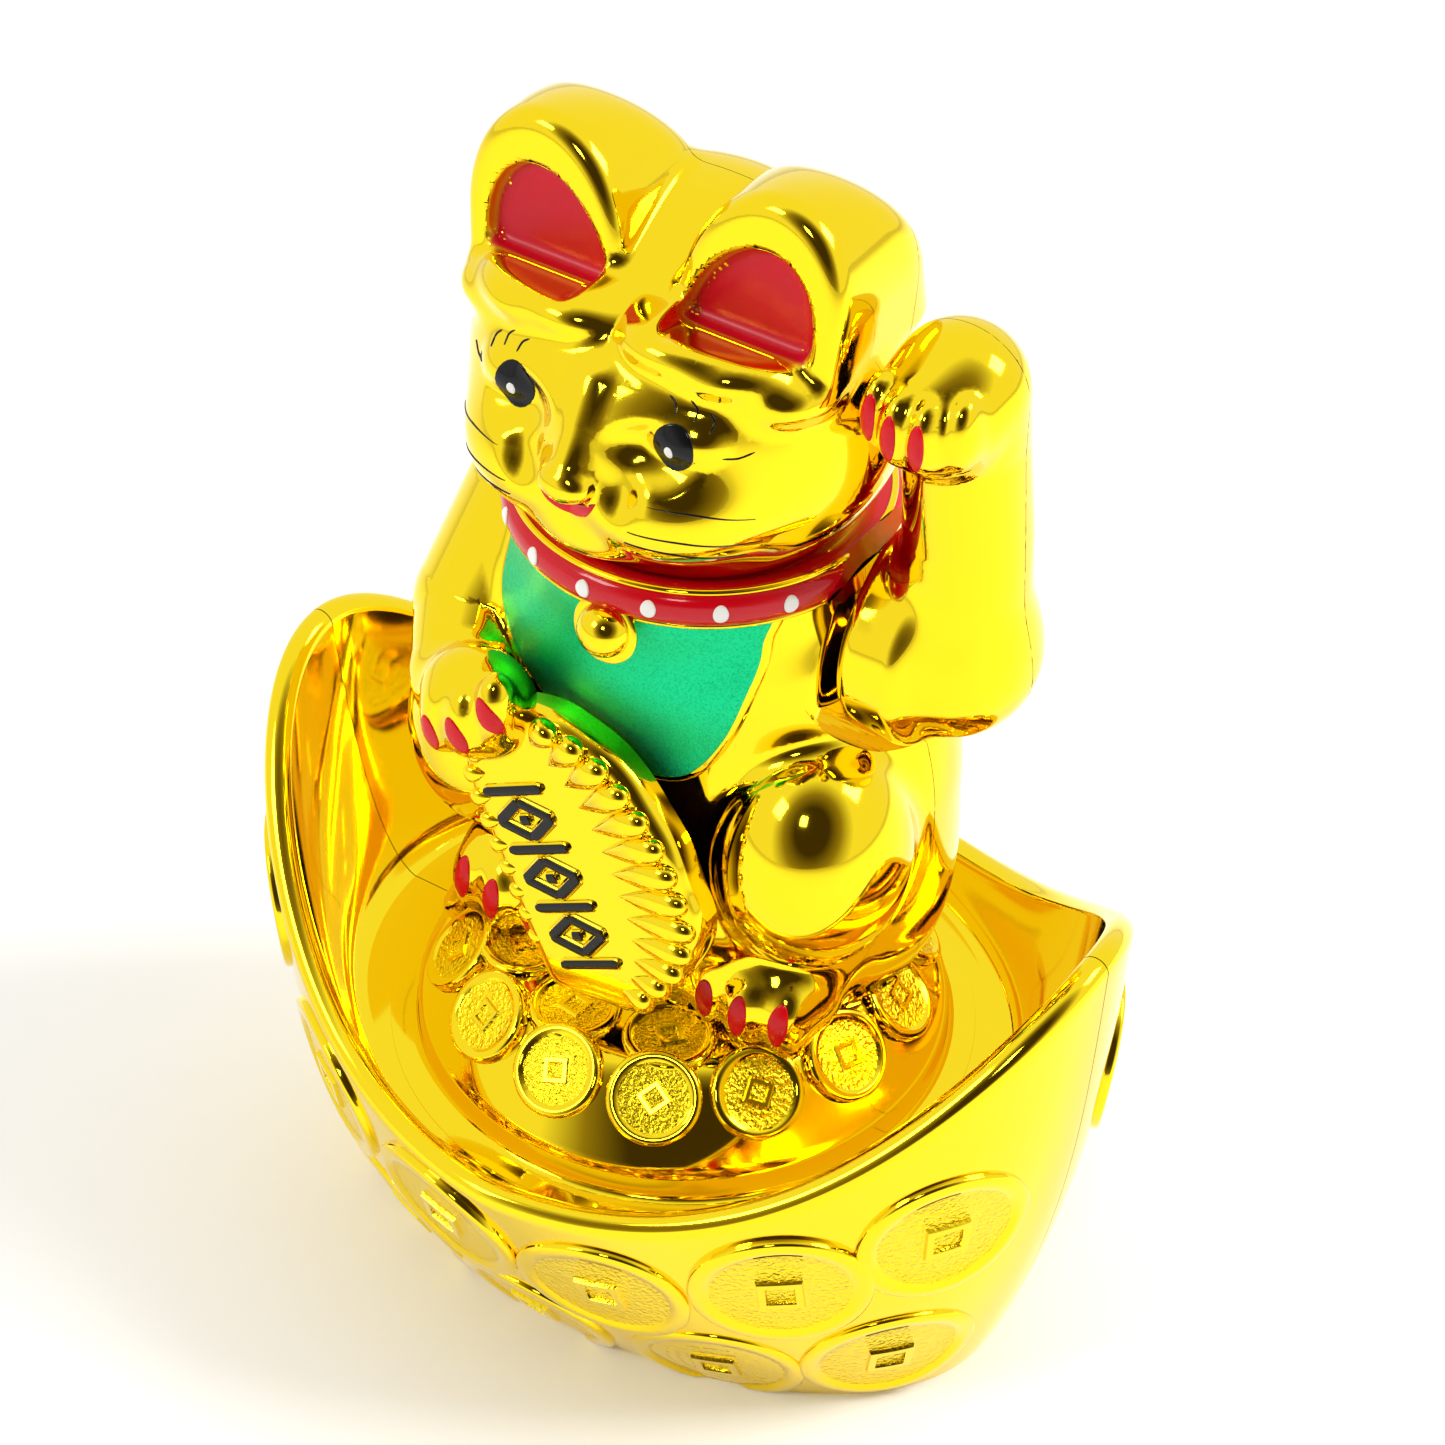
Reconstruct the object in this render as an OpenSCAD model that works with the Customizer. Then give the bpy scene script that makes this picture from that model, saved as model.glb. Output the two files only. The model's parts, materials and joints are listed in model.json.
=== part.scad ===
// Beckoning cat that sits on a bed of coins in a boat-shaped ingot and waves its left arm.
// The arm hangs on an axle in the body, balanced by a weighted pendulum with a magnet that a coil pushes.
// Origin: centre of the underside. +Z is up, the cat looks along -Y, and its left side is +X.

/* [Ingot] */
// Length over the two tips, along the rim's crest
ingot_len = 133; // [120:1:165]
// Depth from the front rim to the rear rim, along the crest
ingot_depth = 103; // [98:1:125]
// Height of the rim's crest at the tips
tip_h = 85; // [72:1:105]
// Height of the rim's crest at the middle of the front
dip_h = 46; // [45:1:56]
// Length of the underside
base_len = 112; // [104:1:135]
// Depth of the underside
base_depth = 66; // [62:1:82]
// Wall of the ingot shells
ingot_wall = 1.8; // [1.4:0.1:2.4]
// Radius of the rolled rim
rim_r = 2.1; // [1.8:0.1:2.6]
// Height of the trough around the coin bed
trough_z = 41; // [36:1:42]
// Radius of the large coins on the outside
coin_r = 13.5; // [10:0.5:15]

/* [Coin bed] */
// Radius of the coin bed
bed_r = 40; // [36:0.5:42]
// Height of the bed's edge above the trough
bed_edge = 4.5; // [3:0.5:8]
// Height of the seat above the trough
bed_rise = 17; // [13:0.5:22]
// Radius of the small coins
small_coin_r = 7; // [5:0.5:8.5]
// Number of small coins in the outer ring
ring_coins = 14; // [10:1:16]

/* [Cat] */
// Height of the cat above its seat
cat_h = 142; // [130:1:172]
// Wall of the cat and of its arm
cat_wall = 1.6; // [1.2:0.1:2]

/* [Works] */
// Diameter of the arm's axle
axle_d = 3; // [2.5:0.1:4]
// Running clearance of the axle in its bearings, on the radius
bearing_gap = 0.05; // [0.02:0.01:0.1]
// Diameter of the magnet
magnet_d = 9; // [7:0.5:11]
// Thickness of the magnet
magnet_t = 4; // [3:0.5:5]
// Diameter of the coil's bobbin
bobbin_d = 19; // [15:0.5:22]
// Height of the bobbin
bobbin_h = 6; // [4:0.5:7]
// Diameter of the dry cell
cell_d = 14.5; // [14:0.1:14.5]
// Length of the dry cell, without its button
cell_len = 49.2; // [48:0.1:50]
// Thread diameter of the long screws
screw_d = 2.6; // [2.2:0.1:3.2]
// Thread diameter of the short screws
small_screw_d = 2; // [1.6:0.1:2.2]

/* [Hidden] */

gap = 0.3;              // clearance between pieces that move past each other
seat_gap = 0.15;        // clearance of pieces that lie in each other
gold = "gold";

// ---- ingot
crest_a = ingot_len / 2;
crest_b = ingot_depth / 2;
base_a = base_len / 2;
base_b = base_depth / 2;
lip_r = bed_r + 1;                    // inner edge of the trough floor
foot_a = max(lip_r + 3, crest_a * 0.76);   // where the inner wall meets the trough
foot_b = max(lip_r + 2, crest_b - rim_r - 4);
plate_t = 3;                          // base plate
boss_r = 3.4;
head_z = 0.55 * screw_d + 0.3;        // seat of the long screws' heads in the base
boss_a = lip_r + 3.2;                 // screw bosses of the ingot, along X and Y
boss_b = 8;
coin_t = 0.9;                         // relief of the large coins
coin_hole = 3.6;                      // their square hole
wall_steps = 6;
bowl_steps = 5;
round_steps = 28;                     // along half of the ingot

// ---- coin bed and cat
seat_z = trough_z + bed_rise;
flat_r = bed_r * 0.68;                // flat top of the bed
cs = cat_h / 142;                     // the cat's masses grow with its height
seam_y = 6 * cs;                      // plane between the cat's two shells
shoulder = [0, seam_y, seat_z + 67 * cs];     // the axle lies in that plane
pocket_r = 18 * cs;                   // round recess for the arm's shoulder
pocket_x = 25 * cs;                   // floor of the recess
barrel_r = pocket_r - 2.6;
arm_x = 39.3 * cs;                    // middle of the forearm
arm_lean = 6;                         // the arm's seam leans forward with the forearm

// ---- works
lever_x = 13 * cs;                    // middle of the pendulum
cheek_t = 2;
cheek_in = 5;                         // from the lever's middle to a bracket cheek
bracket_back = shoulder.y + 6.8;
bracket_low = -17;                    // its ends, from the axle
bracket_top = 6;
bracket_screws = [-13, 2.5];
bobbin_z = seat_z;
magnet_z = bobbin_z + bobbin_h + 2;   // underside of the magnet at rest
cup_wall = 1;
hub_r = axle_d / 2 + 2.4;
weight = [18, 8, 9.5];
lever_bar = [5, 3];
bay_y = -9;                           // middle of the battery bay
bay_wall = 1.4;
cell_room = 0.5;
bay_len = cell_len + 9;
bay_w = cell_d + 2 * cell_room;
door_t = 1.8;
cell_z = door_t + cell_room + cell_d / 2;
board = [34, 14, 1.4];
board_at = [-8, 13, 7];
switch_at = [26, 13];
lead_r = 0.6;                         // insulated lead of the cell
coil_lead_r = 0.22;
knob_travel = 3;
knob = [3.2, 2.4];                    // section of the knob
knob_z = 0.6;                         // its lower end, inside the base
switch_size = [14, 6, 5];
switch_bore = [3.4, 3.2];             // room for the knob inside the switch
ledge = 0.8;                          // ledge that the door rests on
grip = [0.8, 10, 0.5];                // grip grooves of the door
contact_t = 0.5;                      // sheet of the two contacts
contact_w = 10;
spring_wire_r = 0.35;
screw_play = 0.4;                     // clearance holes of the screws, on the diameter
small_play = 0.3;
post_r = 2.6;                         // posts of the board
post_in = 3;                          // from the board's end to its screw
flange = 0.8;                         // flanges of the bobbin
core_r = 3.5;
can = [2.4, 4.6];                     // transistor: radius and height
leg = 0.4;                            // its legs
leg_h = 1.5;
capacitor_size = [2.5, 8];            // radius and height
button_d = 5.5;                       // button of the cell
arm_hub_z = 2.4 * cs;                 // from the floor of the recess to the arm
arm_hub_len = 14 * cs;
bed_ring_r = bed_r * 0.83;            // middle line of the bed's ring of coins
bed_coin_t = 1.8;
bed_k = bed_r / 40;                   // the seat's screws stay on the flat of the bed
seat_screws = [[-20 * bed_k, 10 * bed_k], [4 * bed_k, 24 * bed_k]];
screw_len = 8;

// ---------------------------------------------------------------- curves
function lerp(a, b, s) = a * (1 - s) + b * s;
function unit(v) = v / norm(v);
function flat_normal(t) = unit([cos(t) / crest_a, sin(t) / crest_b, 0]);
function crest(t) = let (x = crest_a * sign(cos(t)) * pow(abs(cos(t)), 1.31))
    [x, crest_b * sin(t), dip_h + (tip_h - dip_h) * pow(abs(x) / crest_a, 2.86)];
function foot(t) = [foot_a * cos(t), foot_b * sin(t), trough_z];

// Outer wall: from the underside at s = 0 to the rim at s = 1, bulging a little on the way.
function skin(t, s) = let (
        low = [base_a * cos(t), base_b * sin(t), 0],
        high = crest(t) + rim_r * flat_normal(t),
        bulge = (2.2 + 1.6 * pow(abs(cos(t)), 3)) * sin(180 * pow(s, 0.85)))
    lerp(low, high, s) + bulge * flat_normal(t);
// Inner wall: from the rim at s = 0 down a cove to the trough at s = 1.
function bowl(t, s) = let (
        high = crest(t) - rim_r * flat_normal(t),
        low = foot(t),
        knee = lerp(low, high, 0.62) - [0, 0, 0.54 * (high.z - low.z)])
    lerp(lerp(high, knee, s), lerp(knee, low, s), s);

// Closed section of the shell at angle t, first over its face and then back along its hidden side.
function section(t) = let (n = flat_normal(t), down = [0, 0, -ingot_wall]) concat(
    [for (i = [0 : wall_steps]) skin(t, i / wall_steps)],
    [for (a = [36 : 36 : 144]) crest(t) + rim_r * (cos(a) * n + [0, 0, sin(a)])],
    [for (i = [0 : bowl_steps]) bowl(t, i / bowl_steps)],
    [lip_r * [cos(t), sin(t), 0] + [0, 0, trough_z]],
    [lip_r * [cos(t), sin(t), 0] + [0, 0, trough_z] + down],
    [for (i = [bowl_steps : -1 : 2]) bowl(t, i / bowl_steps) + 0.6 * ingot_wall * n + down],
    [crest(t) + down * 0.8],
    [for (i = [wall_steps - 1 : -1 : 0]) skin(t, i / wall_steps) - ingot_wall * n]);

// Surface through equal rings of points, closed at both ends.
module loft(rings) {
    n = len(rings[0]);
    m = len(rings);
    polyhedron([for (r = rings) each r], concat(
        [for (j = [0 : m - 2], i = [0 : n - 1])
            let (k = (i + 1) % n) [j * n + i, (j + 1) * n + k, (j + 1) * n + i]],
        [for (j = [0 : m - 2], i = [0 : n - 1])
            let (k = (i + 1) % n) [j * n + i, j * n + k, (j + 1) * n + k]],
        [[for (i = [n - 1 : -1 : 0]) i]],
        [[for (i = [0 : n - 1]) (m - 1) * n + i]]));
}

// Round wire of radius r along a list of points.
function side_of(d) = abs(d.z) > 0.9 ? unit(cross(d, [1, 0, 0])) : unit(cross(d, [0, 0, 1]));
function heading(p, i) = unit(p[min(i + 1, len(p) - 1)] - p[max(i - 1, 0)]);
module wire(p, r, sides = 8) {
    loft([for (i = [0 : len(p) - 1]) let (d = heading(p, i), u = side_of(d), v = cross(d, u))
        [for (k = [0 : sides - 1]) p[i] + r * (cos(-360 * k / sides) * u + sin(-360 * k / sides) * v)]]);
}

// Smooth route through a few chosen points.
function route(p, n = 5) = [for (i = [0 : len(p) - 2], k = [0 : n - 1 + (i == len(p) - 2 ? 1 : 0)])
    let (a = p[max(i - 1, 0)], b = p[i], c = p[i + 1], d = p[min(i + 2, len(p) - 1)], s = k / n)
    0.5 * (2 * b + (c - a) * s + (2 * a - 5 * b + 4 * c - d) * s * s
        + (3 * b - a - 3 * c + d) * s * s * s)];

// ---------------------------------------------------------------- ingot
// Draws its children on the outer wall, with Z out of the wall.
module on_skin(t, s) {
    p = skin(t, s);
    along = unit(skin(t + 1, s) - skin(t - 1, s));
    up = unit(skin(t, s + 0.02) - skin(t, s - 0.02));
    out = unit(cross(along, up));
    side = cross(up, out);
    multmatrix([[side.x, up.x, out.x, p.x], [side.y, up.y, out.y, p.y], [side.z, up.z, out.z, p.z],
        [0, 0, 0, 1]])
        children();
}
// Two overlapping rows of coins, as angles along the wall and heights up it.
module coin_places(front) {
    turn = front ? 180 : 0;
    for (t = [28, 52, 78, 107, 132, 154])
        on_skin(turn + t, 0.64)
            children();
    for (t = [36, 62, 90, 120, 147])
        on_skin(turn + t, 0.2)
            children();
}
// The outer wall's own curve, raised by the thickness of a coin.
module raised_skin(front) {
    start = front ? 180 : 0;
    loft([for (i = [0 : round_steps]) let (t = start + 180 * i / round_steps, n = flat_normal(t)) concat(
        [for (k = [0 : wall_steps]) skin(t, k / wall_steps) + coin_t * n],
        [for (k = [wall_steps : -1 : 0]) skin(t, k / wall_steps) - ingot_wall / 2 * n])]);
}
module ingot_coins(front) {
    difference() {
        intersection() {
            raised_skin(front);
            coin_places(front)
                hull() {
                    translate([0, 0, -8])
                        cylinder(r = coin_r, h = 8, $fn = 20);
                    cylinder(r = coin_r, h = 8, $fn = 20);
                }
            translate([-ingot_len, front ? -ingot_len : 0, 0])
                cube([2 * ingot_len, ingot_len, tip_h]);
        }
        coin_places(front)
            translate([-coin_hole / 2, -coin_hole / 2, 0])
                cube([coin_hole, coin_hole, 6]);
    }
}
module boss(x, y) {
    translate([x, y, plate_t])
        difference() {
            cylinder(r = boss_r, h = trough_z - ingot_wall / 2 - plate_t, $fn = 20);
            translate([0, 0, -1])
                cylinder(d = screw_d, h = 14, $fn = 16);
        }
}
module ingot_half(front) {
    start = front ? 180 : 0;
    loft([for (i = [0 : round_steps]) section(start + 180 * i / round_steps)]);
    ingot_coins(front);
    for (side = [-1, 1])
        boss(side * boss_a, front ? -boss_b : boss_b);
}
module ingot_front_shell() {
    color(gold)
        ingot_half(true);
}
module ingot_rear_shell() {
    color(gold)
        ingot_half(false);
}

// ---------------------------------------------------------------- coin bed
function bed_z(r) = r < flat_r ? seat_z
    : seat_z - (bed_rise - bed_edge) * (1 - cos(90 * (r - flat_r) / (bed_r - flat_r)));
function bed_slope(r) = atan2(bed_z(r + 0.5) - bed_z(r - 0.5), 1);
module bed_coins(r, n, turn, grow = 0) {
    for (i = [0 : n - 1])
        rotate([0, 0, turn + 360 * i / n])
            translate([r, 0, bed_z(r)])
                rotate([0, -bed_slope(r), 0])
                    translate([0, 0, -0.8])
                        difference() {
                            cylinder(r = small_coin_r + grow, h = bed_coin_t + grow);
                            translate([-1, -1, 1 + grow])
                                cube([2, 2, 2]);
                        }
}
// Solid below the bed's surface, raised by h.
module bed_form(h) {
    rotate_extrude($fn = 48)
        polygon(concat([[0, seat_z + h]],
            [for (i = [0 : 5]) let (r = lerp(flat_r, bed_r, i / 5)) [r, bed_z(r) + h]],
            [[bed_r, 0], [0, 0]]));
}
module coin_bed() {
    arc_r = [for (i = [0 : 8]) lerp(flat_r, bed_r, i / 8)];
    under = seat_z - ingot_wall;
    low = trough_z - ingot_wall;
    color(gold)
        difference() {
            union() {
                rotate_extrude($fn = 96)
                    polygon(concat([[0, seat_z]], [for (r = arc_r) [r, bed_z(r)]],
                        [[bed_r, low], [bed_r + 4.5, low], [bed_r + 4.5, low - ingot_wall],
                        [bed_r - ingot_wall, low - ingot_wall]],
                        [for (i = [8 : -1 : 0])
                            [arc_r[i] - ingot_wall, min(bed_z(arc_r[i]) - ingot_wall, under)]],
                        [[0, under]]));
                bed_coins(bed_ring_r, ring_coins, 180 / ring_coins, $fn = 32);
                for (p = seat_screws)
                    translate([p.x, p.y, under - 4])
                        cylinder(r = screw_d + 1.2, h = 4.5, $fn = 32);
            }
            for (x = [-boss_a, boss_a], y = [-boss_b, boss_b])
                translate([x, y, low - 2 * ingot_wall])
                    cylinder(r = boss_r + seat_gap, h = 2 * ingot_wall + seat_gap, $fn = 32);
            for (p = seat_screws)
                translate([p.x, p.y, under - 5]) {
                    cylinder(d = screw_d + screw_play, h = 10, $fn = 32);
                    cylinder(r = screw_d + 0.3, h = 5, $fn = 32);
                }
            translate([0, 8, under - 1])
                cylinder(r = 2, h = 5, $fn = 32);
        }
}

// ---------------------------------------------------------------- base
function oval(a, b, n = 72) = [for (i = [0 : n - 1]) [a * cos(360 * i / n), b * sin(360 * i / n)]];
module base_plate() {
    color(gold)
        difference() {
            union() {
                linear_extrude(plate_t)
                    polygon(oval(base_a - ingot_wall - seat_gap, base_b - ingot_wall - seat_gap));
                translate([-bay_len / 2 - bay_wall, bay_y - bay_w / 2 - bay_wall, 0])
                    cube([bay_len + 2 * bay_wall, bay_w + 2 * bay_wall,
                        door_t + 2 * cell_room + cell_d + bay_wall]);
                for (side = [-1, 1])
                    translate([board_at.x + side * (board.x / 2 - post_in), board_at.y, 0])
                        cylinder(r = post_r, h = board_at.z, $fn = 32);
            }
            // battery bay, open underneath
            translate([-bay_len / 2, bay_y - bay_w / 2, -1])
                cube([bay_len, bay_w, 1 + door_t + 2 * cell_room + cell_d]);
            // ledge opening of the door
            translate([-bay_len / 2 - ledge, bay_y - bay_w / 2 - ledge, -1])
                cube([bay_len + 2 * ledge, bay_w + 2 * ledge, 1 + door_t]);
            // slots for the leads of the two contacts
            for (side = [-1, 1])
                translate([side * (bay_len / 2 - 1.2) - lead_r - gap, bay_y, cell_z - lead_r - gap])
                    cube([2 * (lead_r + gap), bay_w / 2 + 2 * bay_wall, 2 * lead_r + 3 * gap]);
            // countersunk holes of the long screws
            for (x = [-boss_a, boss_a], y = [-boss_b, boss_b])
                translate([x, y, -1]) {
                    cylinder(d = screw_d + screw_play, h = plate_t + 2, $fn = 32);
                    cylinder(d = 2 * screw_d + 0.6, h = 1 + head_z, $fn = 32);
                }
            // slot of the switch
            translate([switch_at.x - 2 - knob_travel, switch_at.y - 1.5, -1])
                cube([4 + 2 * knob_travel, 3, plate_t + 2]);
            // pilot holes of the board's screws
            for (side = [-1, 1])
                translate([board_at.x + side * (board.x / 2 - post_in), board_at.y, board_at.z - 5])
                    cylinder(d = small_screw_d, h = 6, $fn = 32);
        }
}
// Pan-head screw, its head's seat at z = 0 and its thread downwards.
module screw(d, len) {
    translate([0, 0, -len])
        cylinder(d = d, h = len, $fn = 32);
    difference() {
        cylinder(d = 2 * d, h = 0.55 * d, $fn = 32);
        for (a = [0, 90])
            rotate([0, 0, a])
                translate([-0.65 * d, -0.12 * d, 0.25 * d])
                    cube([1.3 * d, 0.24 * d, d]);
    }
}
module long_screws() {
    color("silver") {
        for (x = [-boss_a, boss_a], y = [-boss_b, boss_b])
            translate([x, y, head_z])
                rotate([180, 0, 0])
                    screw(screw_d, screw_len);
        for (p = seat_screws)
            translate([p.x, p.y, seat_z - ingot_wall])
                rotate([180, 0, 0])
                    screw(screw_d, screw_len);
    }
}

// ---------------------------------------------------------------- cat
// Ellipsoid at p with half axes h, drawn smaller by the inset i on every side.
module egg(p, h, i, fn = 30) {
    translate([p.x * cs, p.y * cs, seat_z + p.z * cs])
        hull()
            scale([h.x * cs - i, h.y * cs - i, h.z * cs - i])
                sphere(r = 1, $fn = fn);
}
// Limb: round blends between balls, each given as [x, y, z, radius].
module limb(balls, i, fn = 20) {
    for (k = [0 : len(balls) - 2])
        hull()
            for (b = [balls[k], balls[k + 1]])
                translate([b[0] * cs, b[1] * cs, seat_z + b[2] * cs])
                    sphere(r = b[3] * cs - i, $fn = fn);
}
module both_sides() {
    children();
    mirror([1, 0, 0])
        children();
}
module cat_mass(i) {
    egg([0, 8, 34], [38, 28, 42], i, 30);
    egg([0, 8, 14], [36, 28, 30], i, 30);
    egg([0, 4, 64], [32, 25, 19], i, 24);
    egg([0, 1.5, 76], [25, 24, 14], i, 24);
    egg([0, -2, 102], [30, 28, 28], i, 32);
    egg([0, -16, 96], [21, 16, 15], i, 20);
    both_sides() {
        egg([28, -8, 37], [13, 15, 19], i, 20);
        limb([[24, -14, 8, 8], [22, -6, 14, 10]], i, 14);
    }
    limb([[-28, 0, 66, 11], [-31, -8, 49, 9], [-25, -20, 50, 7.5], [-16, -27, 53, 7]], i, 14);
}
module ear(i) {
    hull()
        for (b = [[24, -13, 117, 2.5], [9, -14, 119, 2.5], [19.5, -14, 131.5, 4],
                [17, -3, 132.5, 6], [16, 7, 120, 8]])
            translate([b[0] * cs, b[1] * cs, seat_z + b[2] * cs])
                sphere(r = b[3] * cs - i, $fn = 14);
}
// Oval plaque that leans on the belly, its upper end under the right paw.
module koban() {
    translate([-1 * cs, -24.5 * cs, seat_z + 31.5 * cs])
        rotate([93, 0, 0])
            rotate([0, 0, 17])
                hull()
                    for (s = [-1, 1])
                        translate([0, s * 11 * cs, 0]) {
                            cylinder(r = 16 * cs, h = 4 * cs, center = true, $fn = 30);
                            cylinder(r = 14.5 * cs, h = 6 * cs, center = true, $fn = 30);
                        }
}
module collar() {
    translate([0, 1.5 * cs, seat_z + 79.5 * cs])
        rotate_extrude($fn = 36)
            translate([24.5 * cs, 0])
                circle(r = 3 * cs, $fn = 10);
}
module bell() {
    egg([0, -24.6, 73], [3.8, 3.8, 3.8], 0, 16);
}
// The whole cat as one hollow body, open underneath, with the round recess for the arm.
module cat_hollow() {
    along = [0, 90, 0];
    difference() {
        union() {
            difference() {
                union() {
                    cat_mass(0);
                    both_sides()
                        ear(0);
                    koban();
                    collar();
                    bell();
                }
                cat_mass(cat_wall);
                both_sides()
                    ear(cat_wall);
            }
            intersection() {
                cat_mass(0.1);
                translate([pocket_x - cat_wall, shoulder.y, shoulder.z])
                    rotate(along)
                        cylinder(r = pocket_r + cat_wall, h = 30 * cs, $fn = 40);
            }
        }
        translate([pocket_x, shoulder.y, shoulder.z])
            rotate(along)
                cylinder(r = pocket_r, h = 40 * cs, $fn = 40);
        translate([pocket_x - 9, shoulder.y, shoulder.z])
            rotate(along)
                cylinder(r = axle_d / 2 + 1, h = 20, $fn = 24);
        bed_form(1.1);
        bed_coins(bed_ring_r, ring_coins, 180 / ring_coins, 0.15, $fn = 16);
    }
}
// Bosses inside the rear shell: two for the bracket and two that the seat screws go into.
module rear_bosses() {
    intersection() {
        cat_mass(0.5);
        union() {
            for (dz = bracket_screws)
                translate([lever_x, bracket_back + cheek_t, shoulder.z + dz])
                    rotate([-90, 0, 0])
                        cylinder(r = 3, h = 40 * cs, $fn = 24);
            for (k = [0, 1])
                translate([seat_screws[k].x, seat_screws[k].y, seat_z]) {
                    cylinder(r = boss_r, h = screw_len, $fn = 20);
                    rotate([0, 0, k == 0 ? 180 : 90])
                        translate([boss_r / 2, -1, 3])
                            cube([20 * cs, 2, screw_len - 3]);
                }
        }
    }
}
module half_space(front) {
    translate([-100 * cs, front ? seam_y - 200 * cs : seam_y, seat_z - 10])
        cube([200 * cs, 200 * cs, 200 * cs]);
}
module cat_front_shell() {
    color(gold)
        intersection() {
            cat_hollow();
            half_space(true);
        }
}
module cat_rear_shell() {
    color(gold)
        intersection() {
            difference() {
                union() {
                    cat_hollow();
                    rear_bosses();
                }
                for (dz = bracket_screws)
                    translate([lever_x, bracket_back, shoulder.z + dz])
                        rotate([-90, 0, 0])
                            cylinder(d = small_screw_d, h = 9, $fn = 16);
                for (p = seat_screws)
                    translate([p.x, p.y, seat_z - 1])
                        cylinder(d = screw_d, h = screw_len + 2, $fn = 16);
            }
            half_space(false);
        }
}

// ---------------------------------------------------------------- works
module pivot_bracket() {
    reach = bracket_back - shoulder.y;
    color("ivory")
        difference() {
            union() {
                for (x = [lever_x - cheek_in - cheek_t, lever_x + cheek_in])
                    translate([x, shoulder.y, shoulder.z]) {
                        rotate([0, 90, 0])
                            cylinder(r = axle_d / 2 + 2.6, h = cheek_t, $fn = 48);
                        translate([0, 0, -axle_d / 2 - 2.6])
                            cube([cheek_t, reach + cheek_t, axle_d + 5.2]);
                    }
                translate([lever_x - cheek_in - cheek_t, bracket_back, shoulder.z + bracket_low])
                    cube([2 * (cheek_in + cheek_t), cheek_t, bracket_top - bracket_low]);
            }
            translate([lever_x - 20, shoulder.y, shoulder.z])
                rotate([0, 90, 0])
                    cylinder(d = axle_d + 2 * bearing_gap, h = 40, $fn = 48);
            for (dz = bracket_screws)
                translate([lever_x, bracket_back - 1, shoulder.z + dz])
                    rotate([-90, 0, 0])
                        cylinder(d = small_screw_d + small_play, h = cheek_t + 2, $fn = 32);
        }
}
module short_screws() {
    color("silver") {
        for (dz = bracket_screws)
            translate([lever_x, bracket_back, shoulder.z + dz])
                rotate([90, 0, 0])
                    screw(small_screw_d, 6);
        for (side = [-1, 1])
            translate([board_at.x + side * (board.x / 2 - post_in), board_at.y, board_at.z + board.z])
                screw(small_screw_d, 6);
    }
}
module coil_bobbin() {
    color("ivory")
        translate([lever_x, shoulder.y, bobbin_z])
            rotate_extrude($fn = 64)
                polygon([[1.5, 0], [bobbin_d / 2, 0], [bobbin_d / 2, flange], [core_r, flange],
                    [core_r, bobbin_h - flange], [bobbin_d / 2, bobbin_h - flange], [bobbin_d / 2, bobbin_h],
                    [1.5, bobbin_h]]);
}
module coil_winding() {
    color("peru")
        translate([lever_x, shoulder.y, bobbin_z + flange])
            difference() {
                cylinder(r = bobbin_d / 2 - flange, h = bobbin_h - 2 * flange, $fn = 64);
                translate([0, 0, -1])
                    cylinder(r = core_r, h = bobbin_h + 2, $fn = 64);
            }
}
module circuit_board() {
    color("forestgreen")
        translate([board_at.x - board.x / 2, board_at.y - board.y / 2, board_at.z])
            difference() {
                cube(board);
                for (x = [post_in, board.x - post_in])
                    translate([x, board.y / 2, -1])
                        cylinder(d = small_screw_d + small_play, h = 4, $fn = 32);
            }
}
module transistor() {
    top = board_at.z + board.z;
    color("dimgray")
        translate([board_at.x + 5, board_at.y, top + leg_h])
            difference() {
                cylinder(r = can[0], h = can[1], $fn = 32);
                translate([-can[0] - 1, can[0] / 2, -1])
                    cube([2 * can[0] + 2, can[0], can[1] + 2]);
            }
    color("silver")
        for (x = [-1.3, 0, 1.3])
            translate([board_at.x + 5 + x - leg / 2, board_at.y - leg / 2, top])
                cube([leg, leg, leg_h]);
}
module capacitor() {
    color("midnightblue")
        translate([board_at.x - 6, board_at.y, board_at.z + board.z])
            cylinder(r = capacitor_size[0], h = capacitor_size[1], $fn = 32);
}
module coil_leads() {
    start = [lever_x - bobbin_d / 2 - 0.2, shoulder.y + 2, bobbin_z + 1.6];
    color("peru")
        for (dx = [-0.8, 0.8])
            wire(route([start + [-dx - 0.5, dx, 0], [2 + dx, 5, bobbin_z + 1.2], [dx, 8, bobbin_z - 1.6],
                [dx, 9, 40], [board_at.x + dx, 16, 22],
                [board_at.x + 3 * dx, board_at.y + 5, board_at.z + board.z + coil_lead_r + 0.1]], 4),
                coil_lead_r, 6);
}
module contact_plate() {
    color("silver")
        translate([bay_len / 2 - contact_t, bay_y - contact_w / 2, cell_z - contact_w / 2])
            cube([contact_t, contact_w, contact_w]);
}
module contact_spring() {
    turns = 4;
    free = bay_len / 2 - cell_len / 2 - 1.2;
    color("silver") {
        translate([-bay_len / 2, bay_y - contact_w / 2, cell_z - contact_w / 2])
            cube([contact_t, contact_w, contact_w]);
        wire([for (i = [0 : 12 * turns])
            let (a = 30 * i, r = 4.2 - 1.6 * i / (12 * turns))
            [-bay_len / 2 + contact_t + 0.25 + (free - contact_t) * i / (12 * turns),
                bay_y + r * cos(a), cell_z + r * sin(a)]],
            spring_wire_r, 6);
    }
}
module dry_cell() {
    color("slategray")
        translate([-cell_len / 2 + 0.4, bay_y, cell_z])
            rotate([0, 90, 0]) {
                cylinder(d = cell_d, h = cell_len, $fn = 64);
                cylinder(d = button_d, h = bay_len / 2 + cell_len / 2 - 0.4 - contact_t, $fn = 48);
            }
}
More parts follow.
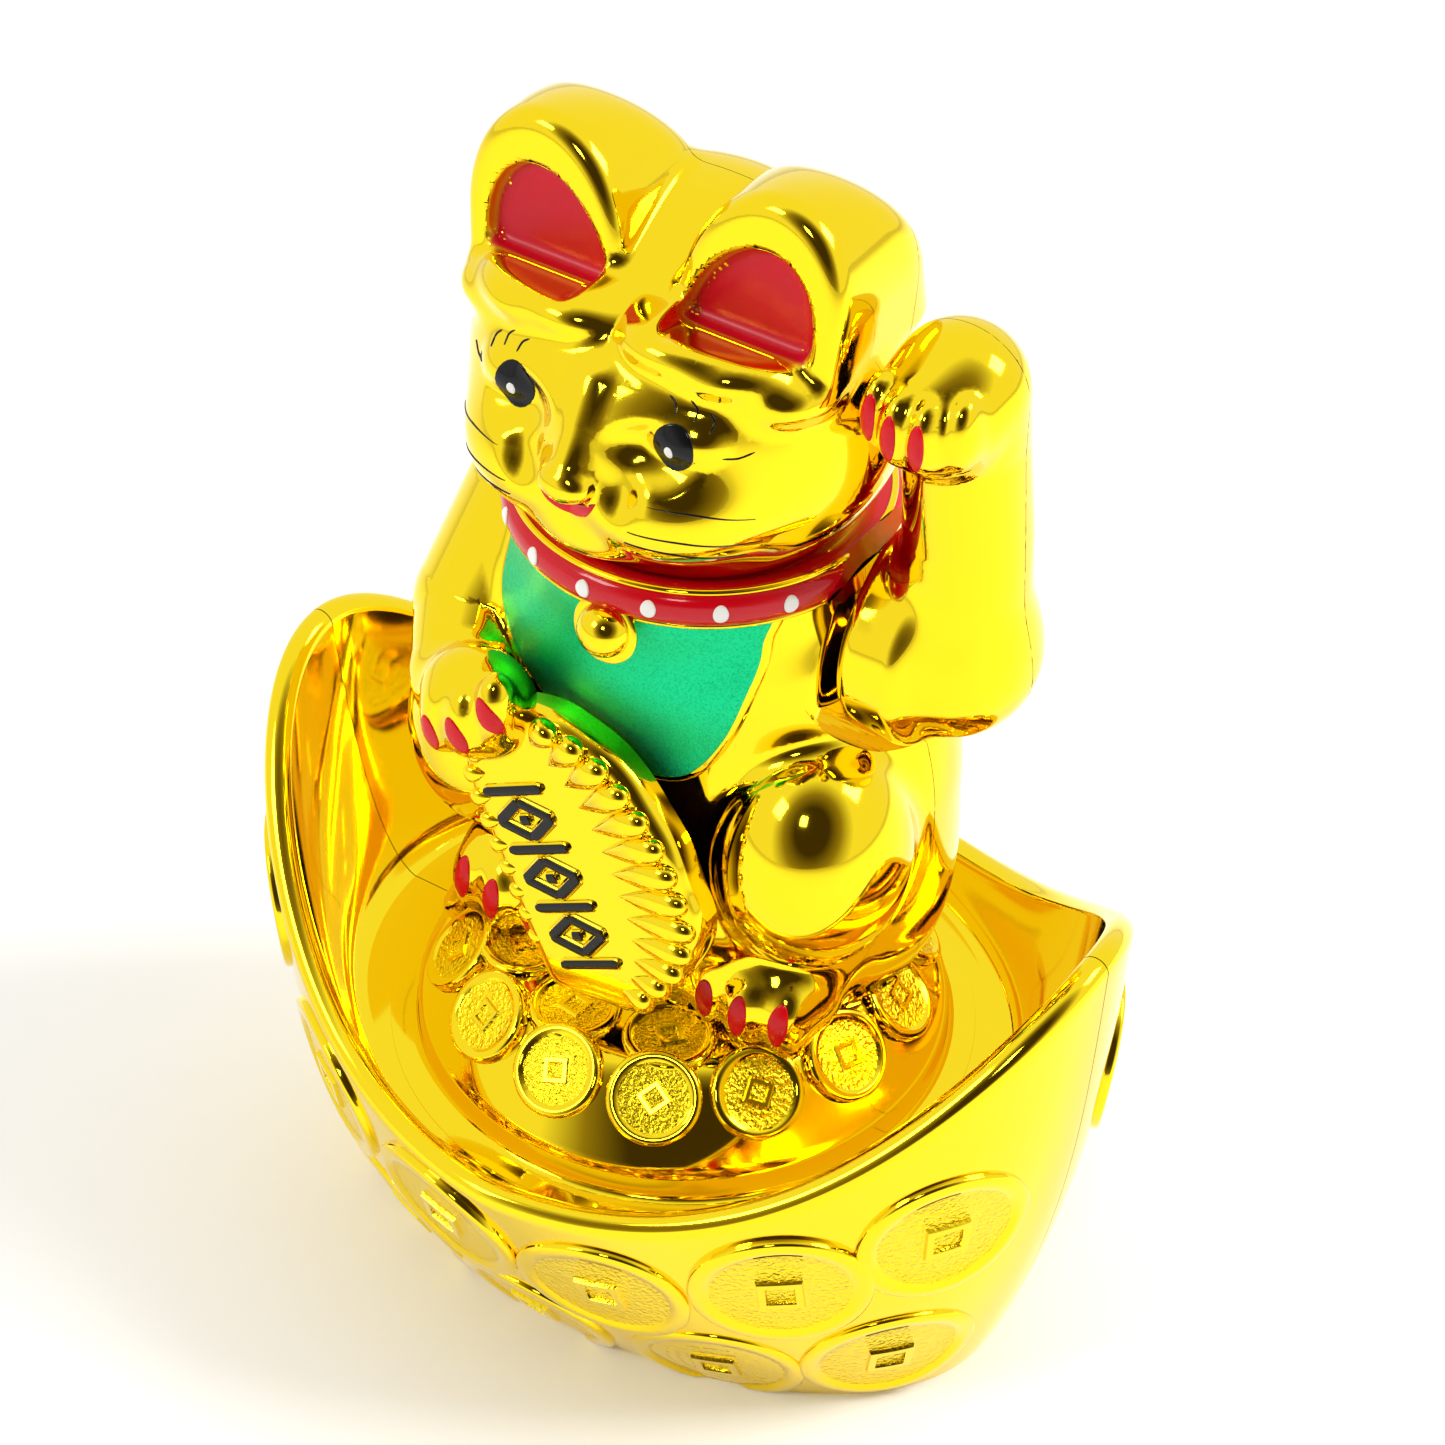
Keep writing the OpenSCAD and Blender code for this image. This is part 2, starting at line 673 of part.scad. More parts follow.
module cell_lead_red() {
    x = bay_len / 2 - 1.2;
    color("red")
        wire(route([[x, bay_y + 5.6, cell_z], [x, bay_y + bay_w / 2 + 3.4, cell_z + 0.4],
            [x - 6, board_at.y - 9, cell_z + 6], [14, board_at.y + 4, 13],
            [board_at.x + 9, board_at.y + 5.5, board_at.z + board.z + lead_r + 0.1]], 4), lead_r);
}
module cell_lead_black() {
    x = -bay_len / 2 + 1.2;
    color("black")
        wire(route([[x, bay_y + 5.6, cell_z], [x, bay_y + bay_w / 2 + 3.4, cell_z + 0.4],
            [x + 4, board_at.y - 5, cell_z + 5], [-20, board_at.y, 14],
            [board_at.x - board.x / 2 + 7, board_at.y + 2, board_at.z + board.z + lead_r + 0.3]], 4), lead_r);
}
module switch_body() {
    color("dimgray")
        translate([switch_at.x - switch_size.x / 2, switch_at.y - switch_size.y / 2, plate_t])
            difference() {
                cube(switch_size);
                translate([switch_size.x / 2 - 2 - knob_travel, (switch_size.y - switch_bore[0]) / 2, -1])
                    cube([4 + 2 * knob_travel, switch_bore[0], switch_bore[1]]);
            }
}
module switch_knob() {
    color("black")
        translate([switch_at.x - knob_travel / 2 - knob.x / 2, switch_at.y - knob.y / 2, knob_z])
            cube([knob.x, knob.y, plate_t + 2 * knob_z]);
}
module battery_door() {
    color(gold)
        difference() {
            translate([-bay_len / 2 - ledge + gap, bay_y - bay_w / 2 - ledge + gap, 0])
                cube([bay_len + 2 * (ledge - gap), bay_w + 2 * (ledge - gap), door_t]);
            for (k = [-2 : 2])
                translate([bay_len / 2 - 9 + 1.8 * k, bay_y - grip.y / 2, -1])
                    cube([grip.x, grip.y, 1 + grip.z]);
        }
}

// ---------------------------------------------------------------- arm
module arm_mass(i) {
    // upper arm: a round barrel that widens into the elbow
    hull() {
        translate([pocket_x + arm_hub_z + i, shoulder.y, shoulder.z])
            rotate([0, 90, 0])
                cylinder(r = barrel_r - i, h = 4 * cs, $fn = 28);
        translate([arm_x - 1 * cs, shoulder.y, shoulder.z])
            sphere(r = 9.5 * cs - i, $fn = 20);
    }
    x = arm_x / cs;
    y = shoulder.y / cs;
    z = (shoulder.z - seat_z) / cs;
    limb([[x - 1, y, z, 9.5], [x, y - 2, z + 22, 8.4], [x, y - 5, z + 47, 8.2]], i, 20);
    limb([[x, y - 5, z + 47, 9.2], [x - 1, y - 11, z + 46, 8.6]], i, 20);
}
module arm_hollow() {
    difference() {
        union() {
            difference() {
                arm_mass(0);
                arm_mass(cat_wall);
            }
            translate([pocket_x + arm_hub_z, shoulder.y, shoulder.z])
                rotate([0, 90, 0])
                    cylinder(r = hub_r + 1, h = arm_hub_len, $fn = 24);
        }
        translate([0, shoulder.y, shoulder.z])
            rotate([0, 90, 0])
                cylinder(d = axle_d, h = pocket_x + arm_hub_len, $fn = 24);
    }
}
module arm_half(front) {
    intersection() {
        arm_hollow();
        translate(shoulder)
            rotate([arm_lean, 0, 0])
                translate([0, front ? -60 * cs : 0, -60 * cs])
                    cube([100 * cs, 60 * cs, 160 * cs]);
    }
}
module arm_front_shell() {
    color(gold)
        arm_half(true);
}
module arm_rear_shell() {
    color(gold)
        arm_half(false);
}
module arm_axle() {
    start = lever_x - cheek_in - cheek_t - 1.5;
    color("silver")
        translate([start, shoulder.y, shoulder.z])
            rotate([0, 90, 0])
                cylinder(d = axle_d, h = pocket_x + arm_hub_len - start, $fn = 48);
}
module pendulum_lever() {
    cup_r = magnet_d / 2 + cup_wall;
    cup_top = magnet_z + magnet_t + cup_wall;
    color("ivory")
        difference() {
            union() {
                translate([lever_x - cheek_in + gap, shoulder.y, shoulder.z])
                    rotate([0, 90, 0])
                        cylinder(r = hub_r, h = 2 * (cheek_in - gap), $fn = 48);
                translate([lever_x - lever_bar.x / 2, shoulder.y - lever_bar.y / 2, cup_top - 0.5])
                    cube([lever_bar.x, lever_bar.y, shoulder.z - cup_top - axle_d / 2]);
                translate([lever_x, shoulder.y, magnet_z])
                    cylinder(r = cup_r, h = cup_top - magnet_z, $fn = 64);
            }
            translate([0, shoulder.y, shoulder.z])
                rotate([0, 90, 0])
                    cylinder(d = axle_d, h = 60 * cs, $fn = 48);
            translate([lever_x, shoulder.y, magnet_z - 1])
                cylinder(d = magnet_d, h = magnet_t + 1, $fn = 64);
        }
}
module swing_magnet() {
    color("gray")
        translate([lever_x, shoulder.y, magnet_z])
            cylinder(d = magnet_d, h = magnet_t, $fn = 64);
}
module counterweight() {
    low = magnet_z + magnet_t + cup_wall;
    color("darkgray")
        translate([lever_x, shoulder.y, low])
            difference() {
                translate([-weight.x / 2, -weight.y / 2, 0])
                    cube(weight);
                translate([-lever_bar.x / 2, -lever_bar.y / 2, -1])
                    cube([lever_bar.x, lever_bar.y, weight.z + 2]);
            }
}

ingot_front_shell();
ingot_rear_shell();
coin_bed();
base_plate();
long_screws();
cat_front_shell();
cat_rear_shell();
pivot_bracket();
short_screws();
coil_bobbin();
coil_winding();
circuit_board();
transistor();
capacitor();
coil_leads();
contact_plate();
contact_spring();
dry_cell();
cell_lead_red();
cell_lead_black();
switch_body();
arm_front_shell();
arm_rear_shell();
arm_axle();
pendulum_lever();
counterweight();
swing_magnet();
battery_door();
switch_knob();
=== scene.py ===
"""Beckoning cat in a boat-shaped ingot: the visual pieces over the CAD frame.

Lengths inside the shape functions are millimetres in the row frame; meshes are written in metres.
"""
import json
import math

import bpy
import numpy as np
from bpy.props import FloatProperty, FloatVectorProperty, PointerProperty
from mathutils import Matrix, Vector


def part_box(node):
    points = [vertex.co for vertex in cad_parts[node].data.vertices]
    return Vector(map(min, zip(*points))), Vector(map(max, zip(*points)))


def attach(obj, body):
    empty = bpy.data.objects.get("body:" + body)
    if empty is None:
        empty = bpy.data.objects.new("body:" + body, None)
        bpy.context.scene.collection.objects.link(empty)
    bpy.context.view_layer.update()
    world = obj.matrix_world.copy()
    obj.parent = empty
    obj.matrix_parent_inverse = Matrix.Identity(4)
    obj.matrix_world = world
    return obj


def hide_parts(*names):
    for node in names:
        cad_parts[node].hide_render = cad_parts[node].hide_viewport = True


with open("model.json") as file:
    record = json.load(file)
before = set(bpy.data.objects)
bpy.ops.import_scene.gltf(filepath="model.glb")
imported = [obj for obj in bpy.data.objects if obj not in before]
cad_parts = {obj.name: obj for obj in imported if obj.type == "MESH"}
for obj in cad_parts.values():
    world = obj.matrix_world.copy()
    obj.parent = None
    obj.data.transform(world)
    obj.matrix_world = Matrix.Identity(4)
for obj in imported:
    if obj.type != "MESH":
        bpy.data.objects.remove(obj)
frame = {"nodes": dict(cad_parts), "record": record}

bl_info = {
    "name": "Beckoning Cat",
    "version": (1, 0, 0),
    "blender": (4, 2, 0),
    "location": "3D View > Sidebar > Beckoning Cat",
    "description": "Builds the looks of a gold-plated waving cat on its ingot",
    "category": "Add Mesh",
}

MM = 0.001


def corner(node, which, axis):
    """One coordinate of a CAD node's box, in millimetres."""
    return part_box(node)[which][axis] / MM


# heights and half widths; the cat's shapes are measured from the seat, the top of the coin bed
SEAT = corner("coil_bobbin", 0, 2)
BED_FLANGE = 4.5
BED_EDGE = corner("coin_bed", 1, 0) - BED_FLANGE
TROUGH = 41.0
TROUGH_A = 50.54
TROUGH_B = 45.4
LIP = BED_EDGE + 1.0
CREST_A = 66.5
CREST_B = 51.5
BASE_A = 56.0
BASE_B = 33.0
TIP = 85.0
DIP = 46.0
RIM = 2.1
SEAM = 6.0
SEAM_GAP = 0.05
AXLE_RISE = 67.0
AXLE = np.array([0.0, SEAM, SEAT + AXLE_RISE])
RECESS_R = 18.0
RECESS_FLOOR = 25.0
IN_FRONT = -60.0
AT_THE_CHEST = -34.0


# ---------------------------------------------------------------- scene objects
def deselect():
    """Leaves object mode with nothing selected."""
    if bpy.context.object and bpy.context.object.mode != "OBJECT":
        bpy.ops.object.mode_set(mode="OBJECT")
    bpy.ops.object.select_all(action="DESELECT")


def choose(*objects):
    """Selects these objects, the first one active."""
    deselect()
    for obj in objects:
        obj.select_set(True)
    bpy.context.view_layer.objects.active = objects[0]


def named(name):
    """Gives the active object and its mesh a name, with its place written into the mesh."""
    obj = bpy.context.object
    obj.name = name
    obj.data.name = name
    bpy.ops.object.transform_apply(location=True, rotation=True, scale=True)
    return obj


def mesh_object(name, points, faces):
    """A mesh object from points in millimetres."""
    mesh = bpy.data.meshes.new(name)
    mesh.from_pydata((np.asarray(points, float) * MM).tolist(), [], faces)
    mesh.validate()
    obj = bpy.data.objects.new(name, mesh)
    bpy.context.scene.collection.objects.link(obj)
    return obj


def modify(obj, kind, **settings):
    """Adds a modifier and applies it."""
    choose(obj)
    modifier = obj.modifiers.new(kind.lower(), kind)
    for key, value in settings.items():
        setattr(modifier, key, value)
    bpy.ops.object.modifier_apply(modifier=modifier.name)


def join(name, objects):
    """Joins objects into one."""
    choose(*objects)
    bpy.ops.object.join()
    return named(name)


def points_of(obj):
    """The vertices of a mesh in millimetres."""
    flat = np.empty(len(obj.data.vertices) * 3)
    obj.data.vertices.foreach_get("co", flat)
    return flat.reshape(-1, 3) / MM


def set_points(obj, points):
    """Moves the vertices of a mesh; millimetres."""
    obj.data.vertices.foreach_set("co", (points * MM).ravel())
    obj.data.update()


def close_up(obj):
    """Merges doubled vertices and turns every face outwards."""
    choose(obj)
    bpy.ops.object.mode_set(mode="EDIT")
    bpy.ops.mesh.select_all(action="SELECT")
    bpy.ops.mesh.remove_doubles(threshold=0.000002)
    bpy.ops.mesh.normals_make_consistent(inside=False)
    bpy.ops.object.mode_set(mode="OBJECT")


def thicken(obj, wall, offset=-1.0):
    """Gives an open surface a wall; millimetres."""
    modify(obj, "SOLIDIFY", thickness=wall * MM, offset=offset, use_even_offset=False, use_rim=True)


def smooth(obj, angle=None):
    """Smooth shading, with an edge where faces meet at more than the angle."""
    choose(obj)
    if angle is None:
        bpy.ops.object.shade_smooth()
    else:
        bpy.ops.object.shade_smooth_by_angle(angle=math.radians(angle), keep_sharp_edges=False)


def dress(obj, material, body="root", replaces=()):
    """Gives a piece its material and the body it rides on."""
    obj.data.materials.clear()
    obj.data.materials.append(material)
    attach(obj, body)
    if replaces:
        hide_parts(*replaces)
    return obj


def lacquer(obj, material, body="root"):
    """Smooths a painted or raised piece and dresses it."""
    smooth(obj, 60)
    dress(obj, material, body)


def store(obj, name, values):
    """Stores one number per vertex under an attribute name."""
    layer = obj.data.attributes.new(name, "FLOAT", "POINT")
    layer.data.foreach_set("value", np.asarray(values, float))


def grid_faces(rows, columns, closed=False, first=0):
    """Quads over rows of points; closed joins the last column to the first."""
    faces = []
    for j in range(rows - 1):
        for i in range(columns if closed else columns - 1):
            k = (i + 1) % columns
            a = first + j * columns
            b = a + columns
            faces.append((a + i, a + k, b + k, b + i))
    return faces


def flipped(faces):
    """The same faces turned round."""
    return [tuple(reversed(face)) for face in faces]


# ---------------------------------------------------------------- materials
def shader(name, colour, roughness, metallic=0.0, coat=0.0, specular=0.5):
    """A node material with constant base values on the shader's own sockets."""
    material = bpy.data.materials.new(name)
    material.use_nodes = True
    bsdf = material.node_tree.nodes["Principled BSDF"]
    bsdf.inputs["Base Color"].default_value = (*colour, 1.0)
    bsdf.inputs["Roughness"].default_value = roughness
    bsdf.inputs["Metallic"].default_value = metallic
    bsdf.inputs["Specular IOR Level"].default_value = specular
    bsdf.inputs["Coat Weight"].default_value = coat
    bsdf.inputs["Coat Roughness"].default_value = 0.06
    return material


def add_node(material, kind, **settings):
    """Adds a node and sets its fields or input sockets."""
    node = material.node_tree.nodes.new(kind)
    for key, value in settings.items():
        if hasattr(node, key):
            setattr(node, key, value)
        else:
            node.inputs[key.replace("_", " ")].default_value = value
    return node


def wire_up(material, *links):
    """Joins (node, socket, node, socket) pairs."""
    for source, out, target, into in links:
        material.node_tree.links.new(source.outputs[out], target.inputs[into])


def noise(material, scale, detail=3.0, kind="ShaderNodeTexNoise"):
    """A noise texture in object coordinates."""
    place = add_node(material, "ShaderNodeTexCoord")
    texture = add_node(material, kind)
    texture.inputs["Scale"].default_value = scale
    if "Detail" in texture.inputs:
        texture.inputs["Detail"].default_value = detail
    wire_up(material, (place, "Object", texture, "Vector"))
    return texture


def vary_roughness(material, scale, low, high):
    """Lets the roughness drift between two values over the surface."""
    bsdf = material.node_tree.nodes["Principled BSDF"]
    spread = add_node(material, "ShaderNodeMapRange")
    spread.inputs["To Min"].default_value = low
    spread.inputs["To Max"].default_value = high
    wire_up(material, (noise(material, scale), 0, spread, "Value"), (spread, "Result", bsdf, "Roughness"))


def add_bump(material, texture, strength, distance, output=0):
    """Bump from a texture, distance in millimetres; bumps chain onto each other."""
    bsdf = material.node_tree.nodes["Principled BSDF"]
    bump = add_node(material, "ShaderNodeBump")
    bump.inputs["Strength"].default_value = strength
    bump.inputs["Distance"].default_value = distance * MM
    earlier = bsdf.inputs["Normal"].links[0].from_node if bsdf.inputs["Normal"].links else None
    if earlier:
        wire_up(material, (earlier, "Normal", bump, "Normal"))
    wire_up(material, (texture, output, bump, "Height"), (bump, "Normal", bsdf, "Normal"))
    return bump


def gold_plating(settings, name):
    """Vacuum-plated plastic: a mirror with faint moulding waves and handling haze."""
    material = shader(name, settings.gold, 0.06, 1.0)
    vary_roughness(material, 60.0, 0.035, 0.09)
    add_bump(material, noise(material, 45.0, 1.0), 0.25, 0.05)
    return material


def coin_plating(settings):
    """The same plating with a stippled field where the coin's field attribute is set."""
    material = gold_plating(settings, "coin plating")
    bsdf = material.node_tree.nodes["Principled BSDF"]
    field = add_node(material, "ShaderNodeAttribute", attribute_name="field")
    grain = noise(material, 1500.0, 2.0)
    bump = add_bump(material, grain, 1.0, 0.4)
    wire_up(material, (field, "Fac", bump, "Strength"))
    rough = add_node(material, "ShaderNodeMapRange")
    rough.inputs["To Min"].default_value = 0.06
    rough.inputs["To Max"].default_value = 0.24
    wire_up(material, (field, "Fac", rough, "Value"), (rough, "Result", bsdf, "Roughness"))
    return material


def enamel(name, colour, roughness=0.22, coat=0.0, specular=0.25):
    """Brushed-on paint: glossy, a little uneven in tone and thickness."""
    material = shader(name, colour, roughness, 0.0, coat, specular)
    bsdf = material.node_tree.nodes["Principled BSDF"]
    tone = add_node(material, "ShaderNodeMixRGB", blend_type="MULTIPLY")
    tone.inputs["Fac"].default_value = 0.12
    tone.inputs["Color1"].default_value = (*colour, 1.0)
    wire_up(material, (noise(material, 220.0), "Color", tone, "Color2"), (tone, 0, bsdf, "Base Color"))
    vary_roughness(material, 400.0, roughness * 0.8, roughness * 1.3)
    add_bump(material, noise(material, 500.0), 0.3, 0.03)
    return material


def glitter_green():
    """Green metallic lacquer with fine flakes."""
    material = shader("green glitter", (0.0, 0.46, 0.16), 0.42, 0.9, 0.0, 0.3)
    bsdf = material.node_tree.nodes["Principled BSDF"]
    flakes = noise(material, 4200.0, kind="ShaderNodeTexVoronoi")
    ramp = add_node(material, "ShaderNodeValToRGB")
    ramp.color_ramp.elements[0].color = (0.0, 0.30, 0.12, 1.0)
    ramp.color_ramp.elements[1].color = (0.01, 0.66, 0.27, 1.0)
    wire_up(material, (flakes, "Color", ramp, "Fac"), (ramp, "Color", bsdf, "Base Color"))
    add_bump(material, flakes, 0.6, 0.05, "Distance")
    return material


def ear_lacquer(settings):
    """Sprayed red that thins out into the gold towards its border."""
    material = enamel("ear lacquer", settings.ear_red, 0.3)
    bsdf = material.node_tree.nodes["Principled BSDF"]
    cover = add_node(material, "ShaderNodeAttribute", attribute_name="cover")
    thin = add_node(material, "ShaderNodeMapRange")
    thin.inputs["To Min"].default_value = 1.0
    thin.inputs["To Max"].default_value = 0.0
    wire_up(material, (cover, "Fac", thin, "Value"), (thin, "Result", bsdf, "Metallic"))
    mix = add_node(material, "ShaderNodeMixRGB")
    mix.inputs["Color1"].default_value = (*settings.gold, 1.0)
    source = bsdf.inputs["Base Color"].links[0].from_node
    wire_up(material, (cover, "Fac", mix, "Fac"), (source, 0, mix, "Color2"), (mix, 0, bsdf, "Base Color"))
    return material


# ---------------------------------------------------------------- distances to the masses
def egg(p, centre, half):
    """Distance to an ellipsoid, near enough close to its surface."""
    q = (p - np.array(centre, float)) / np.array(half, float)
    k0 = np.linalg.norm(q, axis=1)
    k1 = np.linalg.norm(q / np.array(half, float), axis=1)
    return k0 * (k0 - 1.0) / np.maximum(k1, 1e-9)


def limb(p, *balls):
    """Distance to a chain of balls, each (x, y, z, radius), with straight sides between them."""
    best = None
    for first, last in zip(balls, balls[1:]):
        a = np.array(first[:3], float)
        along = np.array(last[:3], float) - a
        t = np.clip((p - a) @ along / (along @ along), 0.0, 1.0)
        d = np.linalg.norm(p - a - t[:, None] * along, axis=1) - (first[3] + (last[3] - first[3]) * t)
        best = d if best is None else np.minimum(best, d)
    return best


def blend(a, b, k):
    """Union of two distances with a fillet of about k."""
    h = np.clip(0.5 + 0.5 * (b - a) / k, 0.0, 1.0)
    return b * (1.0 - h) + a * h - k * h * (1.0 - h)


def carve(a, b, k):
    """First shape with the second taken out, the edge rounded by about k."""
    return -blend(-a, b, k)


def common(a, b, k):
    """Common part of two shapes, the edge rounded by about k."""
    return -blend(-a, -b, k)


def arch(m, base, half, lean):
    """Distance, in front view, to an upright half oval on straight sides; base is its (x, z) centre."""
    rise = m[:, 2] - base[1]
    u = (m[:, 0] - base[0] - lean * rise) / half[0]
    v = np.maximum(rise, 0.0) / half[1]
    k0 = np.hypot(u, v)
    k1 = np.hypot(u / half[0], v / half[1])
    return k0 * (k0 - 1.0) / np.maximum(k1, 1e-9)


def ear_shape(m):
    """Distance to the ears: an arch drawn back into a falling ridge with a steep end."""
    flat = arch(m, (16.2, 122.0), (12.2, 16.4), 0.08)
    front = -13.8 - m[:, 1] + 0.10 * (m[:, 2] - 118.0)
    ridge = 0.53 * (m[:, 1] + 4.0) + 0.848 * (m[:, 2] - 140.1)
    end = 0.94 * (m[:, 1] - 12.5) + 0.34 * (m[:, 2] - 120.0)
    body = common(common(common(flat, front, 3.0), ridge, 5.0), end, 7.0)
    return common(body, 111.0 - m[:, 2], 4.0)


def pocket_outline(m):
    """Distance, in front view, to the outline of the hollow in the ear's front."""
    return arch(m, (14.7, 118.0), (9.4, 13.4), 0.18)


def ear_pocket(m):
    """Distance to the hollow in the ear's front."""
    deep = common(pocket_outline(m), m[:, 1] + 11.6 - 0.10 * (m[:, 2] - 118.0), 2.0)
    return common(deep, 118.2 - m[:, 2] - 0.25 * (m[:, 1] + 13.8), 2.6)


def face_relief(head, m):
    """Sculpts brow, eyes, nose, cheeks and chin into the head."""
    head = blend(head, egg(m, (8.5, -18.5, 97.0), (13.0, 12.5, 8.5)), 5.0)
    head = blend(head, egg(m, (0, -22.5, 91.0), (7.5, 7.5, 4.6)), 3.5)
    head = common(head, 0.91 * (m[:, 2] - 121.4) - 0.42 * (m[:, 1] + 13.5), 7.0)
    brow = egg(m, (7.4, -18.0, 117.8), (7.0, 5.8, 3.4))
    brow = blend(brow, egg(m, (14.0, -16.0, 116.6), (8.0, 7.0, 3.7)), 3.0)
    brow = blend(brow, egg(m, (20.6, -12.8, 113.6), (6.8, 7.2, 4.0)), 3.0)
    head = blend(head, brow, 2.4)
    head = carve(head, egg(m, (12.8, -31.4, 107.8), (9.4, 6.8, 5.4)), 1.2)
    head = carve(head, egg(m, (7.4, -33.5, 103.2), (3.2, 5.0, 5.5)), 2.4)
    head = blend(head, egg(m, (12.4, -20.6, 108.2), (6.6, 5.7, 4.4)), 0.9)
    head = blend(head, limb(m, (0, -24.4, 112.4, 2.0), (0, -27.4, 107.6, 2.2), (0, -30.2, 101.6, 2.9)), 2.2)
    head = blend(head, egg(m, (0, -31.3, 100.8), (3.9, 2.7, 2.6)), 1.0)
    head = carve(head, limb(m, (0.9, -34.6, 98.6, 0.9), (5.2, -32.6, 98.9, 0.6)), 1.2)
    return carve(head, limb(m, (0, -34.4, 97.6, 0.8), (0, -33.6, 93.6, 0.7)), 1.2)


def right_arm(q):
    """The cat's own right arm, bent forward so that its paw holds the plaque."""
    arm = limb(q, (-26.0, 2.0, 65.0, 12.5), (-30.0, -7.0, 52.0, 10.8), (-26.5, -17.5, 48.0, 8.0))
    arm = blend(arm, egg(q, (-18.2, -25.6, 52.0), (8.8, 7.0, 8.4)), 4.0)
    for x, y, z in ((-21.6, -29.4, 50.2), (-16.8, -30.4, 52.6), (-12.6, -29.4, 56.4)):
        arm = blend(arm, egg(q, (x, y, z), (2.9, 3.2, 5.6)), 1.6)
    return arm


def feet(m):
    """Both feet with three toes each."""
    foot = limb(m, (22.5, -8.0, 9.0, 8.0), (22.5, -3.0, 14.0, 10.0))
    foot = blend(foot, egg(m, (21.4, -10.6, 8.0), (10.2, 8.4, 8.0)), 4.0)
    for x, y in ((15.2, -15.0), (21.2, -16.2), (27.2, -15.0)):
        foot = blend(foot, egg(m, (x, y, 6.8), (3.5, 3.8, 6.2)), 1.6)
    return foot


def torso(q):
    """Distance to belly, chest and neck."""
    body = egg(q, (0, 8, 34), (37, 28, 42))
    body = blend(body, egg(q, (0, 8, 14), (36, 28, 30)), 8.0)
    body = blend(body, egg(q, (0, 4, 63), (31, 24.5, 19)), 9.0)
    return blend(body, egg(q, (0, 1.5, 76), (24.5, 23.5, 14)), 6.0)


def seated(p):
    """Points measured from the seat."""
    return p - np.array([0.0, 0.0, SEAT])


def folded(p):
    """Points measured from the seat, folded onto the cat's left side."""
    q = seated(p)
    return np.abs(q) * [1, 0, 0] + q * [0, 1, 1]


def torso_distance(p):
    """Distance to the torso alone, for what lies under the paw."""
    return torso(seated(p))


def cat_distance(p):
    """Distance to the cat's outer surface, without its left arm."""
    q = seated(p)
    m = folded(p)
    body = torso(q)
    body = blend(body, egg(m, (26.2, -8.6, 35), (13.6, 14.8, 18.5)), 2.6)
    body = blend(body, feet(m), 2.2)
    body = blend(body, right_arm(q), 2.6)
    head = face_relief(egg(q, (0, -2, 102), (30, 27.5, 28)), m)
    head = blend(head, ear_shape(m), 1.6)
    head = carve(head, ear_pocket(m), 1.0)
    return blend(body, head, 1.6)


def arm_distance(p):
    """Distance to the waving arm: shoulder barrel, forearm and curled paw."""
    q = seated(p)
    y, z = SEAM, AXLE_RISE
    across = np.hypot(q[:, 1] - y, q[:, 2] - z) - 13.2
    along = np.abs(q[:, 0] - 32.4) - 2.6
    outside = np.hypot(np.maximum(across, 0), np.maximum(along, 0))
    barrel = np.minimum(np.maximum(across, along), 0.0) + outside - 2.2
    arm = blend(barrel, egg(q, (38.3, y, z), (10.4, 12.0, 12.4)), 5.0)
    arm = blend(arm, limb(q, (39.0, y, z, 9.3), (39.3, 4.0, 89.0, 8.7), (39.3, 1.2, 106.0, 8.3)), 5.0)
    arm = blend(arm, egg(q, (39.1, -1.0, 114.0), (9.0, 8.8, 8.9)), 4.0)
    arm = blend(arm, egg(q, (38.2, -6.6, 112.0), (8.2, 7.0, 7.4)), 3.0)
    for x, yy, zz in ((32.6, -9.6, 113.2), (36.4, -11.2, 112.6), (40.4, -11.2, 112.8), (44.2, -8.8, 113.4)):
        arm = blend(arm, egg(q, (x, yy, zz), (2.3, 3.2, 5.2)), 1.2)
    return arm


def slope_of(distance, p, step=0.03):
    """Gradient of a distance by central differences."""
    out = np.empty_like(p)
    for axis in range(3):
        shift = np.zeros(3)
        shift[axis] = step
        out[:, axis] = (distance(p + shift) - distance(p - shift)) / (2.0 * step)
    return out


def settle(distance, p, rounds=3):
    """Moves points onto the zero surface of a distance, in steps of half a millimetre at most."""
    for _ in range(rounds):
        g = slope_of(distance, p)
        step = -distance(p)[:, None] * g / np.maximum((g * g).sum(1), 0.2)[:, None]
        p = p + np.clip(step, -0.5, 0.5)
    return p


def relax(obj, distance, rounds=5):
    """Evens the mesh out and puts it back onto the surface, a few times."""
    p = points_of(obj)
    edges = np.empty(len(obj.data.edges) * 2, int)
    obj.data.edges.foreach_get("vertices", edges)
    edges = edges.reshape(-1, 2)
    count = np.bincount(edges.ravel(), minlength=len(p))[:, None]
    for _ in range(rounds):
        total = np.zeros_like(p)
        np.add.at(total, edges[:, 0], p[edges[:, 1]])
        np.add.at(total, edges[:, 1], p[edges[:, 0]])
        p = settle(distance, 0.5 * p + 0.5 * total / count, 1)
    set_points(obj, settle(distance, p, 2))


